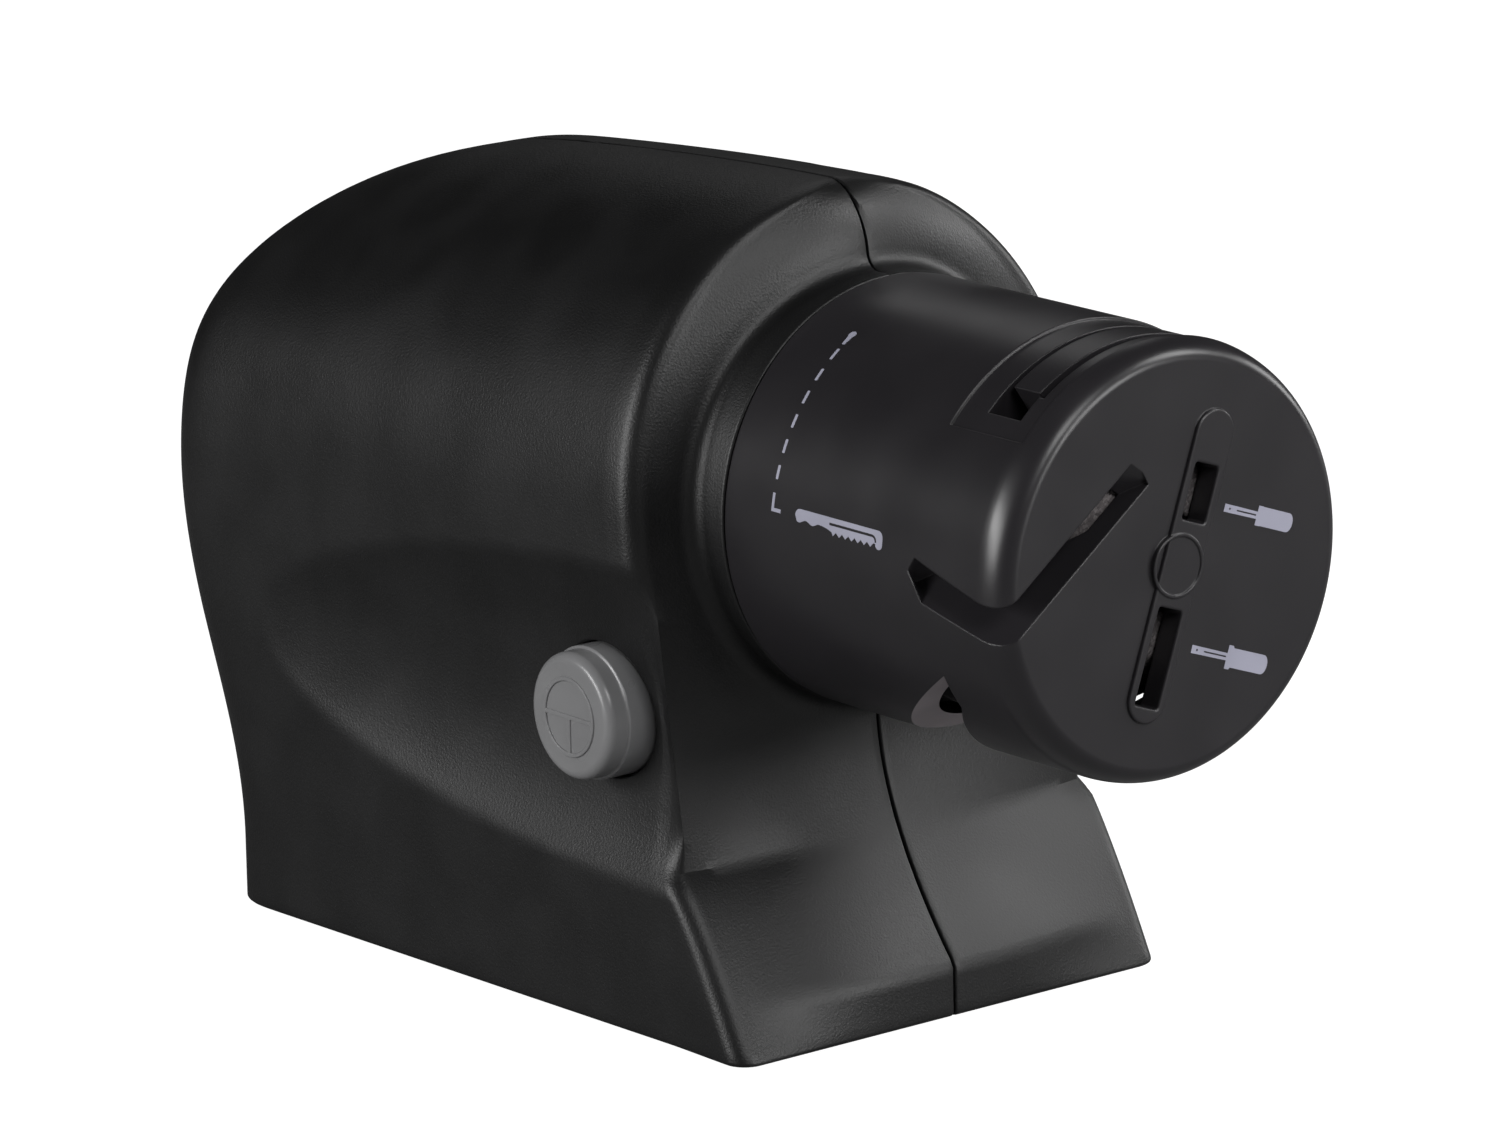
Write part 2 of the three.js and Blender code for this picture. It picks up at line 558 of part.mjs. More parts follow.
function buttonHoles() {
  const bore = barX(buttonBore, -FRONT_HALF_WIDTH - OVERRUN, guideEnd + OVERRUN, buttonAxis, 32);
  const depth = SMALL_SCREW.reach + FIT_GAP;
  const clear = SMALL_SCREW.radius + FIT_GAP;
  const holes = posts.map((post) => barX(clear, postEnd - depth, postEnd + OVERRUN, post, 12));
  return [bore, ...holes];
}

piece("left_shell", housingHalf(-1), "housing");
piece("right_shell", housingHalf(1), "housing");

// Feet, and the screws that hold the two halves together
for (const foot of feet) piece(foot.name, barZ(FOOT_RADIUS, -FOOT_PROUD, FOOT_RECESS, foot, 20), "rubber");

function screwX(head, seat, shank, reach, way, centre) {
  const headSpan = [seat, seat + way * head.thickness].sort((a, b) => a - b);
  const shankSpan = [seat + (way * head.thickness) / 2, seat - way * reach].sort((a, b) => a - b);
  return join(barX(head.radius, ...headSpan, centre, 16), barX(shank, ...shankSpan, centre, 12));
}

for (const boss of SCREW_BOSSES) {
  const seat = SCREW_HEAD.seat + FIT_GAP;
  const solid = screwX(SCREW_HEAD, seat, SCREW_RADIUS, seat + SCREW_REACH, 1, boss);
  piece(`shell_screw_${boss.name}`, solid, "zincSteel");
}

// The guide cap: a cup with a rounded rim, then its slots, guides and marks
function knifePoint({ x, z }, y) {
  return new THREE.Vector3(x, y, HEAD_AXIS_HEIGHT + z);
}
const edgeBack = knifePoint(KNIFE_EDGE_BACK, CAP_FACE_Y + KNIFE_SLOT_ALONG);
const edgeFront = knifePoint(KNIFE_EDGE_FRONT, CAP_FACE_Y);
const edgeCorner = knifePoint(KNIFE_CORNER, CAP_FACE_Y);

function knifeSlab(thickness, margin) {
  const along = edgeFront.clone().sub(edgeBack);
  const length = along.length();
  along.normalize();
  const normal = along.clone().cross(edgeCorner.clone().sub(edgeBack)).normalize();
  const outward = normal.clone().cross(along);
  if (outward.dot(edgeCorner.clone().sub(edgeBack)) < 0) outward.negate();
  const depth = HEAD_RADIUS;
  const frame = new THREE.Matrix4().makeBasis(along, normal, along.clone().cross(normal));
  const centre = edgeFront.clone().add(edgeBack).divideScalar(2);
  centre.addScaledVector(outward, depth / 2 - margin);
  const geometry = new THREE.BoxGeometry(length + 2 * margin, thickness, depth);
  return solidOf(geometry.applyMatrix4(frame.setPosition(centre)));
}

// A band of the head between two depths below its surface and two angles round it
function headBand({ depth, from, to, startAngle, endAngle }, outerRadius, segments) {
  const ring = ringY(HEAD_RADIUS - depth, outerRadius, RIM_Y + from, RIM_Y + to, HEAD_AXIS, segments);
  const [front, back] = [RIM_Y + from - OVERRUN, RIM_Y + to + OVERRUN];
  return ring.intersect(sector(startAngle, endAngle, HEAD_RADIUS * 2, front, back));
}

function onFace(shape, depth, proud) {
  const geometry = new THREE.ExtrudeGeometry(shape, { depth, bevelEnabled: false, curveSegments: 4 });
  geometry.translate(PILL_OFFSET, 0, 0).rotateX(Math.PI / 2).rotateY(PILL_TILT * DEGREE);
  return solidOf(geometry.translate(0, CAP_FACE_Y - proud + depth, HEAD_AXIS_HEIGHT));
}

function pillShape(halfWidth, halfLength) {
  const shape = new THREE.Shape();
  shape.absarc(0, halfLength, halfWidth, 0, Math.PI, false);
  shape.absarc(0, -halfLength, halfWidth, Math.PI, 2 * Math.PI, false);
  shape.closePath();
  return shape;
}

function slotShape(slot) {
  const shape = new THREE.Shape();
  const [halfWidth, low, high] = [
    DRIVER_SLOT_WIDTH / 2, slot.along - slot.length / 2, slot.along + slot.length / 2,
  ];
  shape.moveTo(-halfWidth, low).lineTo(halfWidth, low).lineTo(halfWidth, high).lineTo(-halfWidth, high);
  shape.closePath();
  return shape;
}

function capBody() {
  const outline = [[0, CAP_FACE_Y], [HEAD_RADIUS - CAP_RIM, CAP_FACE_Y]];
  const rimSteps = 5;
  for (let i = 1; i <= rimSteps; i += 1) {
    const angle = (i / rimSteps) * (Math.PI / 2);
    outline.push([
      HEAD_RADIUS - CAP_RIM * (1 - Math.sin(angle)),
      CAP_FACE_Y + CAP_RIM_LENGTH * (1 - Math.cos(angle)),
    ]);
  }
  outline.push([HEAD_RADIUS, CAP_BACK_Y], [CAP_BORE, CAP_BACK_Y]);
  outline.push([CAP_BORE, RIM_Y], [CAP_BORE - CAP_WALL / 2, CAP_FACE_Y + CAP_WALL]);
  outline.push([0, CAP_FACE_Y + CAP_WALL]);
  return turned(outline, HEAD_AXIS, 72);
}

const wheelFrontY = RIM_Y + WHEEL_BEHIND_RIM;
const wheelBackY = wheelFrontY + WHEEL_WIDTH;
const bevelBackY = wheelFrontY + WHEEL_RADIUS - WHEEL_NOSE_RADIUS;

function wheelSpace(clear) {
  return turned([
    [0, wheelFrontY - clear],
    [WHEEL_NOSE_RADIUS + clear / 2, wheelFrontY - clear],
    [WHEEL_RADIUS + clear, bevelBackY - clear / 2],
    [WHEEL_RADIUS + clear, wheelBackY + clear],
    [0, wheelBackY + clear],
  ], HEAD_AXIS, 40);
}

function capLugs() {
  const front = CAP_BACK_Y - LUG_DISTANCE - LUG_THICKNESS;
  const [inner, outer] = [NOSE_RADIUS + FIT_GAP, CAP_BORE + CAP_WALL / 2];
  const ring = ringY(inner, outer, front, front + LUG_THICKNESS, HEAD_AXIS, 72);
  const wedges = Array.from({ length: BAYONET_COUNT }, (_, i) => {
    const middle = (i * FULL_TURN) / BAYONET_COUNT;
    return sector(middle - LUG_ANGLE / 2, middle + LUG_ANGLE / 2, HEAD_RADIUS * 2, front - OVERRUN,
      front + LUG_THICKNESS + OVERRUN);
  });
  return ring.intersect(join(...wedges));
}

function headCap() {
  const body = capBody();
  const filled = barY(HEAD_RADIUS - CAP_WALL / 2, CAP_FACE_Y + CAP_WALL / 2, wheelBackY, HEAD_AXIS, 48);
  const knifeGuide = knifeSlab(KNIFE_SLOT_WIDTH + 2 * GUIDE_WALL, GUIDE_WALL);
  const scissorGuide = headBand(SCISSOR_GUIDE, CAP_BORE + CAP_WALL / 2, 48);
  const guides = cut(join(knifeGuide, scissorGuide).intersect(filled), wheelSpace(WHEEL_CLEARANCE));
  let cap = join(body, guides, capLugs());
  cap = join(cap, onFace(pillShape(PILL_WIDTH / 2, PILL_HALF_LENGTH), CAP_WALL / 2 + PILL_PROUD, PILL_PROUD));
  const faceRing = [
    [RING_RADIUS, CAP_FACE_Y + PILL_PROUD],
    [RING_RADIUS, FRONT_Y],
    [RING_RADIUS + RING_WIDTH, FRONT_Y],
    [RING_RADIUS + RING_WIDTH, CAP_FACE_Y + PILL_PROUD],
    [RING_RADIUS, CAP_FACE_Y + PILL_PROUD],
  ];
  cap = join(cap, turned(faceRing, HEAD_AXIS, 24));
  const topBands = [TOP_STEP, TOP_GROOVE, SCISSOR_SLOT, SCISSOR_HOLE];
  return cut(
    cap,
    knifeSlab(KNIFE_SLOT_WIDTH, 0),
    ...topBands.map((band) => headBand(band, HEAD_RADIUS + OVERRUN, 72)),
    onFace(slotShape(SMALL_DRIVER_SLOT), CAP_WALL * 2, CAP_WALL / 2),
    onFace(slotShape(LARGE_DRIVER_SLOT), CAP_WALL * 2, CAP_WALL / 2),
    dustNotch(),
  );
}

// The dust notch: a wedge cut across the underside, sloping up towards the front
function dustNotch() {
  const shape = new THREE.Shape();
  for (const [i, { y, z }] of NOTCH.entries()) {
    if (i === 0) shape.moveTo(RIM_Y + y, HEAD_AXIS_HEIGHT + z);
    else shape.lineTo(RIM_Y + y, HEAD_AXIS_HEIGHT + z);
  }
  const depth = 2 * (HEAD_RADIUS + OVERRUN);
  const geometry = new THREE.ExtrudeGeometry(shape, { depth, bevelEnabled: false });
  const standing = new THREE.Matrix4().makeBasis(
    new THREE.Vector3(0, 1, 0), new THREE.Vector3(0, 0, 1), new THREE.Vector3(1, 0, 0),
  );
  return solidOf(geometry.translate(0, 0, -depth / 2).applyMatrix4(standing));
}

piece("head_cap", headCap(), "cap");

// The nose: a tube clamped in the collar, with a bulkhead for the motor and the
// bayonet flange that the cap's lugs lock behind
function motorNose() {
  const flangeY = SEAT_Y + FIT_GAP;
  const tube = turned([
    [NOSE_RADIUS, noseFrontY],
    [NOSE_RADIUS, noseBackY],
    [NOSE_RADIUS - NOSE_WALL, noseBackY],
    [NOSE_RADIUS - NOSE_WALL, bulkheadY],
    [BUSH_RADIUS + FIT_GAP, bulkheadY],
    [BUSH_RADIUS + FIT_GAP, noseFrontY],
    [NOSE_RADIUS, noseFrontY],
  ], HEAD_AXIS, 48);
  const flange = ringY(NOSE_RADIUS - NOSE_WALL / 2, NOSE_FLANGE_RADIUS, flangeY,
    flangeY + NOSE_FLANGE_THICKNESS, HEAD_AXIS, 48);
  const lugFrontY = CAP_BACK_Y - LUG_DISTANCE - LUG_THICKNESS;
  const bayonetBackY = lugFrontY - FIT_GAP;
  const bayonetFrontY = bayonetBackY - BAYONET_FLANGE_THICKNESS;
  const rimRadius = CAP_BORE - FIT_GAP;
  const entries = [];
  const stops = [];
  for (let i = 0; i < BAYONET_COUNT; i += 1) {
    const lug = (i * FULL_TURN) / BAYONET_COUNT;
    const entry = lug - BAYONET_TURN;
    const entryHalf = LUG_ANGLE / 2 + ENTRY_SPARE_ANGLE;
    const stop = lug + LUG_ANGLE / 2 + STOP_SPARE_ANGLE;
    entries.push(sector(entry - entryHalf, entry + entryHalf, HEAD_RADIUS * 2,
      bayonetFrontY - OVERRUN, bayonetBackY + OVERRUN));
    stops.push(sector(stop, stop + STOP_ANGLE, HEAD_RADIUS * 2,
      bayonetBackY - FIT_GAP, lugFrontY + LUG_THICKNESS));
  }
  const rootRadius = NOSE_RADIUS - NOSE_WALL / 2;
  const rim = ringY(rootRadius, rimRadius, bayonetFrontY, bayonetBackY, HEAD_AXIS, 48);
  const bayonet = cut(rim, join(...entries));
  const stopRing = ringY(rootRadius, rimRadius, bayonetBackY - FIT_GAP,
    lugFrontY + LUG_THICKNESS, HEAD_AXIS, 48);
  const screwHoles = [-1, 1].map((way) => barY(SMALL_SCREW.radius + FIT_GAP, noseFrontY - OVERRUN,
    bulkheadY + OVERRUN, { x: 0, z: HEAD_AXIS_HEIGHT + way * MOTOR_SCREW_SPACING }, 12));
  return cut(join(tube, flange, bayonet, stopRing.intersect(join(...stops))), ...screwHoles);
}
piece("motor_nose", motorNose(), "blackPlastic");

// The motor: can, magnets, end cap and terminals stand still, and the rest turns
const motorFrontY = bulkheadY + FIT_GAP;
const motorBackY = motorFrontY + MOTOR_LENGTH;
const endCapY = motorBackY + FIT_GAP;
const endCapBackY = endCapY + END_CAP_THICKNESS;
const shaftBore = SHAFT_RADIUS + RUNNING_GAP;
const armatureY = motorFrontY + MOTOR_CAN_WALL + ARMATURE_INSET;
const armatureBackY = armatureY + ARMATURE_LENGTH;
const commutatorY = armatureBackY + FIT_GAP;

function motorCan() {
  const outer = MOTOR_RADIUS;
  const inner = MOTOR_RADIUS - MOTOR_CAN_WALL;
  const can = turned([
    [outer, motorFrontY], [outer, motorBackY], [inner, motorBackY],
    [inner, motorFrontY + MOTOR_CAN_WALL], [shaftBore, motorFrontY + MOTOR_CAN_WALL],
    [shaftBore, motorFrontY], [outer, motorFrontY],
  ], HEAD_AXIS, 36);
  const [bushFront, bushBack] = [motorFrontY - BUSH_LENGTH, motorFrontY + MOTOR_CAN_WALL / 2];
  const bush = ringY(shaftBore, BUSH_RADIUS, bushFront, bushBack, HEAD_AXIS, 24);
  const holes = [-1, 1].map((way) => barY(SMALL_SCREW.radius + FIT_GAP, motorFrontY - OVERRUN,
    motorFrontY + MOTOR_CAN_WALL + OVERRUN, { x: 0, z: HEAD_AXIS_HEIGHT + way * MOTOR_SCREW_SPACING }, 12));
  return cut(can.add(bush), ...holes);
}
piece("motor_can", motorCan(), "zincSteel");

const magnetOuter = MOTOR_RADIUS - MOTOR_CAN_WALL - FIT_GAP;
for (const [name, middle] of [["left", -90], ["right", 90]]) {
  const ring = ringY(magnetOuter - MAGNET_THICKNESS, magnetOuter, armatureY, armatureBackY, HEAD_AXIS, 36);
  const wedge = sector(middle - MAGNET_SPAN / 2, middle + MAGNET_SPAN / 2, HEAD_RADIUS,
    armatureY - OVERRUN, armatureBackY + OVERRUN);
  piece(`motor_magnet_${name}`, ring.intersect(wedge), "ferrite");
}

function armature() {
  const core = ringY(SHAFT_RADIUS + FIT_GAP, ARMATURE_RADIUS, armatureY, armatureBackY, HEAD_AXIS, 36);
  const slots = Array.from({ length: ARMATURE_POLE_COUNT }, (_, i) => {
    const angle = ((i * FULL_TURN) / ARMATURE_POLE_COUNT + HALF_TURN) * DEGREE;
    const slotRadius = ARMATURE_RADIUS * ARMATURE_SLOT_SHARES.radius;
    const distance = ARMATURE_RADIUS * ARMATURE_SLOT_SHARES.place;
    const centre = { x: distance * Math.sin(angle), z: HEAD_AXIS_HEIGHT + distance * Math.cos(angle) };
    return barY(slotRadius, armatureY - OVERRUN, armatureBackY + OVERRUN, centre, 12);
  });
  return cut(core, ...slots);
}
piece("motor_armature", armature(), "steel");
piece("motor_commutator", ringY(SHAFT_RADIUS + FIT_GAP, COMMUTATOR_RADIUS, commutatorY,
  commutatorY + COMMUTATOR_LENGTH, HEAD_AXIS, 18), "copper");

const terminals = [-1, 1].map((way) => ({ x: way * (MOTOR_RADIUS - TERMINAL.inset), z: HEAD_AXIS_HEIGHT }));
const terminalHalf = { x: TERMINAL.halfThickness, z: TERMINAL.halfWidth };
const endCapRimY = endCapBackY - END_CAP_BOSS.proud;
const terminalBackY = endCapBackY + END_CAP_THICKNESS;

function motorEndCap() {
  const cover = turned([
    [0, endCapY], [MOTOR_RADIUS - MOTOR_CAN_WALL, endCapY],
    [MOTOR_RADIUS - MOTOR_CAN_WALL, endCapRimY], [BUSH_RADIUS + END_CAP_BOSS.wall, endCapRimY],
    [BUSH_RADIUS, endCapBackY], [0, endCapBackY],
  ], HEAD_AXIS, 36);
  const bore = barY(shaftBore, endCapY - OVERRUN, endCapRimY, HEAD_AXIS, 16);
  const slots = terminals.map(({ x, z }) => block(
    [x - terminalHalf.x - FIT_GAP, endCapY - OVERRUN, z - terminalHalf.z - FIT_GAP],
    [x + terminalHalf.x + FIT_GAP, terminalBackY, z + terminalHalf.z + FIT_GAP],
  ));
  return cut(cover, bore, ...slots);
}
piece("motor_end_cap", motorEndCap(), "whitePlastic");
for (const { x, z } of terminals) {
  const low = [x - terminalHalf.x, endCapY + TERMINAL.seat, z - terminalHalf.z];
  const high = [x + terminalHalf.x, terminalBackY, z + terminalHalf.z];
  piece(`motor_terminal_${x < 0 ? "left" : "right"}`, block(low, high), "brass");
}

for (const way of [-1, 1]) {
  const centre = { x: 0, z: HEAD_AXIS_HEIGHT + way * MOTOR_SCREW_SPACING };
  const headBackY = noseFrontY - FIT_GAP;
  const head = barY(SMALL_SCREW.headRadius, headBackY - SMALL_SCREW.headThickness, headBackY, centre, 14);
  const shankFrontY = headBackY - SMALL_SCREW.headThickness / 2;
  const shank = barY(SMALL_SCREW.radius, shankFrontY, motorFrontY + MOTOR_CAN_WALL + SCREW_TIP, centre, 10);
  piece(`motor_screw_${way < 0 ? "lower" : "upper"}`, head.add(shank), "zincSteel");
}

// The shaft, the hub that grips it, and the stone that the hub carries
const hubBackY = noseFrontY - BUSH_LENGTH / 2 - HUB_TAIL;
const hubFlangeY = wheelBackY + FIT_GAP;
const hubFrontY = wheelFrontY + WHEEL_RECESS_DEPTH;
const shaftFrontY = hubBackY - GRIP_DEPTH;
piece("motor_shaft", barY(SHAFT_RADIUS, shaftFrontY, endCapRimY - FIT_GAP, HEAD_AXIS, 16), "steel");

function grindingWheel() {
  return turned([
    [WHEEL_BORE, wheelBackY],
    [WHEEL_BORE, wheelFrontY + WHEEL_RECESS_DEPTH],
    [WHEEL_RECESS_RADIUS, wheelFrontY + WHEEL_RECESS_DEPTH],
    [WHEEL_RECESS_RADIUS, wheelFrontY],
    [WHEEL_NOSE_RADIUS, wheelFrontY],
    [WHEEL_RADIUS, bevelBackY],
    [WHEEL_RADIUS, wheelBackY],
    [WHEEL_BORE, wheelBackY],
  ], HEAD_AXIS, 40);
}
piece("grinding_wheel", grindingWheel(), "stone");

function wheelHub() {
  const barrel = WHEEL_BORE - FIT_GAP;
  const grip = SHAFT_RADIUS + FIT_GAP;
  const body = turned([
    [0, hubFrontY], [barrel, hubFrontY], [barrel, hubFlangeY],
    [HUB_FLANGE_RADIUS, hubFlangeY], [HUB_FLANGE_RADIUS, hubFlangeY + HUB_FLANGE_THICKNESS],
    [barrel, hubFlangeY + HUB_FLANGE_THICKNESS], [barrel, hubBackY], [0, hubBackY],
  ], HEAD_AXIS, 28);
  const shaftHole = barY(grip, shaftFrontY - FIT_GAP, hubBackY + OVERRUN, HEAD_AXIS, 16);
  const screwHole = barY(SMALL_SCREW.radius + FIT_GAP, hubFrontY - OVERRUN,
    hubFrontY + SMALL_SCREW.reach + FIT_GAP, HEAD_AXIS, 12);
  return cut(body, shaftHole, screwHole);
}
piece("wheel_hub", wheelHub(), "whitePlastic");

const washerY = hubFrontY - FIT_GAP;
piece("wheel_washer", ringY(SMALL_SCREW.radius + FIT_GAP, WHEEL_RECESS_RADIUS - FIT_GAP,
  washerY - WASHER_THICKNESS, washerY, HEAD_AXIS, 24), "zincSteel");
const wheelScrewY = washerY - WASHER_THICKNESS - FIT_GAP;
const wheelScrewFrontY = wheelScrewY - SMALL_SCREW.headThickness;
const wheelShankY = wheelScrewY - SMALL_SCREW.headThickness / 2;
piece("wheel_screw", join(
  barY(SMALL_SCREW.headRadius, wheelScrewFrontY, wheelScrewY, HEAD_AXIS, 14),
  barY(SMALL_SCREW.radius, wheelShankY, hubFrontY + SMALL_SCREW.reach, HEAD_AXIS, 10),
), "zincSteel");

piece("dust_seal", ringY(BUSH_RADIUS + FIT_GAP, BUSH_RADIUS + SEAL_WIDTH, noseFrontY - BUSH_LENGTH / 2,
  noseFrontY - FIT_GAP, HEAD_AXIS, 24), "felt");

// The button, its spring, and the switch behind it
const flangeEnd = BUTTON_FLANGE_X + BUTTON_FLANGE.thickness;
const stemEnd = BRACKET_X + FIT_GAP;

function aboutX(outline, { y, z }, segments) {
  const points = outline.map(([radius, along]) => new THREE.Vector2(radius, along));
  const geometry = new THREE.LatheGeometry(points, segments);
  return solidOf(geometry.rotateZ(-Math.PI / 2).translate(0, y, z));
}

function buttonCap() {
  const face = BUTTON_FACE_X;
  const cavity = face + BUTTON_WALL;
  const outline = [[0, face], [BUTTON_RADIUS - BUTTON_EDGE, face]];
  const edgeSteps = 3;
  for (let i = 1; i <= edgeSteps; i += 1) {
    const angle = (i / edgeSteps) * (Math.PI / 2);
    outline.push([
      BUTTON_RADIUS - BUTTON_EDGE * (1 - Math.sin(angle)),
      face + BUTTON_EDGE * (1 - Math.cos(angle)),
    ]);
  }
  outline.push(
    [BUTTON_RADIUS, BUTTON_FLANGE_X], [BUTTON_RADIUS + BUTTON_FLANGE.width, BUTTON_FLANGE_X],
    [BUTTON_RADIUS + BUTTON_FLANGE.width, flangeEnd], [BUTTON_RADIUS - BUTTON_WALL, flangeEnd],
    [BUTTON_RADIUS - BUTTON_WALL, cavity], [BUTTON_STEM_RADIUS, cavity],
    [BUTTON_STEM_RADIUS, stemEnd], [0, stemEnd],
  );
  return join(aboutX(outline, buttonAxis, 28), buttonMark());
}

// The raised mark on the button: a ring with a bar across it and a half bar below
function buttonMark() {
  const { radius, width, proud } = BUTTON_MARK;
  const [front, back] = [BUTTON_FACE_X - proud, BUTTON_FACE_X + BUTTON_WALL / 2];
  const ring = aboutX([
    [radius - width, back], [radius - width, front], [radius, front], [radius, back], [radius - width, back],
  ], buttonAxis, 24);
  const inRing = radius - width / 4;
  const bar = block([front + proud / 5, BUTTON_Y - inRing, BUTTON_HEIGHT - width / 2],
    [back, BUTTON_Y + inRing, BUTTON_HEIGHT + width / 2]);
  const stroke = block([front + proud / 5, BUTTON_Y - width / 2, BUTTON_HEIGHT - inRing],
    [back, BUTTON_Y + width / 2, BUTTON_HEIGHT]);
  return join(ring, bar, stroke);
}
piece("button_cap", buttonCap(), "button");

// A round wire wound as an open helix along a direction, with closed ends
function helix({ from, to, radius, tip = radius, wire, curls }) {
  const steps = curls * 8;
  const sides = 5;
  const aheadShare = 0.001;
  const axis = to.clone().sub(from);
  const length = axis.length();
  axis.normalize();
  const across = new THREE.Vector3(0, 0, 1);
  const third = axis.clone().cross(across);
  const centreAt = (share) => {
    const angle = share * curls * 2 * Math.PI;
    const reach = blend(radius, tip, share);
    return from.clone()
      .addScaledVector(axis, wire / 2 + (length - wire) * share)
      .addScaledVector(across, reach * Math.cos(angle))
      .addScaledVector(third, reach * Math.sin(angle));
  };
  const points = [];
  for (let i = 0; i <= steps; i += 1) {
    const share = i / steps;
    const centre = centreAt(share);
    const ahead = centreAt(share + aheadShare).sub(centreAt(share - aheadShare)).normalize();
    const outward = centre.clone().sub(from);
    outward.addScaledVector(axis, -outward.dot(axis)).normalize();
    const side = ahead.clone().cross(outward).normalize();
    for (let j = 0; j < sides; j += 1) {
      const angle = (j / sides) * 2 * Math.PI;
      const point = centre.clone()
        .addScaledVector(outward, (wire / 2) * Math.cos(angle))
        .addScaledVector(side, (wire / 2) * Math.sin(angle));
      points.push(point.x, point.y, point.z);
    }
  }
  const triangles = [];
  for (let i = 0; i < steps; i += 1) {
    for (let j = 0; j < sides; j += 1) {
      const [a, b] = [i * sides + j, i * sides + ((j + 1) % sides)];
      triangles.push(a, b, b + sides, a, b + sides, a + sides);
    }
  }
  for (let j = 1; j + 1 < sides; j += 1) {
    triangles.push(0, j + 1, j);
    triangles.push(steps * sides, steps * sides + j, steps * sides + j + 1);
  }
  const geometry = new THREE.BufferGeometry();
  geometry.setAttribute("position", new THREE.BufferAttribute(new Float32Array(points), 3));
  geometry.setIndex(triangles);
  const gap = (length - wire) / curls - wire;
  return { solid: solidOf(geometry), gap };
}

const springGaps = {};
function spring(name, shape) {
  const { solid, gap } = helix(shape);
  springGaps[name] = gap;
  piece(name, solid, "steel");
}

spring("button_spring", {
  ...BUTTON_SPRING,
  curls: BUTTON_SPRING_CURL_COUNT,
  from: new THREE.Vector3(BRACKET_X - FIT_GAP, BUTTON_Y, BUTTON_HEIGHT),
  to: new THREE.Vector3(BUTTON_FACE_X + BUTTON_WALL + FIT_GAP, BUTTON_Y, BUTTON_HEIGHT),
});

function switchBracket() {
  const { thickness, sideMargin, endMargin, armLength } = BRACKET;
  const [x, halfWidth, halfHeight] = [BRACKET_X, SWITCH.halfWidth + sideMargin, postSpacing + endMargin];
  const plate = block([x, BUTTON_Y - halfWidth, BUTTON_HEIGHT - halfHeight],
    [x + thickness, BUTTON_Y + halfWidth, BUTTON_HEIGHT + halfHeight]);
  const armSpan = SWITCH.halfHeight + FIT_GAP;
  const arms = [-1, 1].map((way) => {
    const [inner, outer] = [way * armSpan, way * (armSpan + thickness)];
    return block(
      [x, BUTTON_Y - SWITCH.halfWidth, BUTTON_HEIGHT + Math.min(inner, outer)],
      [x + thickness + armLength, BUTTON_Y + SWITCH.halfWidth, BUTTON_HEIGHT + Math.max(inner, outer)],
    );
  });
  const [front, back] = [x - OVERRUN, x + thickness + OVERRUN];
  const stemHole = barX(BUTTON_STEM_RADIUS + 2 * FIT_GAP, front, back, buttonAxis, 20);
  const clear = SMALL_SCREW.radius + FIT_GAP;
  const screwHoles = posts.map((post) => barX(clear, front, back, post, 12));
  return cut(join(plate, ...arms), stemHole, ...screwHoles);
}
piece("switch_bracket", switchBracket(), "blackPlastic");

for (const [i, post] of posts.entries()) {
  const seat = BRACKET_X + BRACKET.thickness + FIT_GAP;
  const head = { radius: SMALL_SCREW.headRadius, thickness: SMALL_SCREW.headThickness };
  const solid = screwX(head, seat, SMALL_SCREW.radius, seat - postEnd + SMALL_SCREW.reach, 1, post);
  piece(`bracket_screw_${i === 0 ? "lower" : "upper"}`, solid, "zincSteel");
}

const plungerFront = BRACKET_X + 2 * FIT_GAP;
const plungerEnd = plungerFront + PLUNGER_LENGTH;
function switchBody() {
  const low = [SWITCH_X, BUTTON_Y - SWITCH.halfWidth, BUTTON_HEIGHT - SWITCH.halfHeight];
  const high = [SWITCH_X + SWITCH.length, BUTTON_Y + SWITCH.halfWidth, BUTTON_HEIGHT + SWITCH.halfHeight];
  const holeEnd = plungerEnd + BUTTON_TRAVEL + FIT_GAP;
  const hole = barX(PLUNGER_RADIUS + RUNNING_GAP, SWITCH_X - OVERRUN, holeEnd, buttonAxis, 16);
  return cut(block(low, high), hole);
}
piece("switch_body", switchBody(), "blackPlastic");
piece("switch_plunger", barX(PLUNGER_RADIUS, plungerFront, plungerEnd, buttonAxis, 14), "whitePlastic");

const switchTabs = [-1, 1].map((way) => BUTTON_HEIGHT + way * (SWITCH.halfHeight - SWITCH_TAB.inset));
const switchTabX = SWITCH_X + SWITCH.length + FIT_GAP;
for (const [i, z] of switchTabs.entries()) {
  const low = [switchTabX, BUTTON_Y - terminalHalf.z, z - terminalHalf.x];
  const high = [switchTabX + SWITCH_TAB.length, BUTTON_Y + terminalHalf.z, z + terminalHalf.x];
  piece(`switch_terminal_${i === 0 ? "lower" : "upper"}`, block(low, high), "brass");
}

// The battery tray, its contacts and springs, the four cells and the cover
const bayMiddleX = (i) => -cellRowHalf + i * CELL_PITCH;
const tabTop = trayTop + CONTACT_TAB.proud;

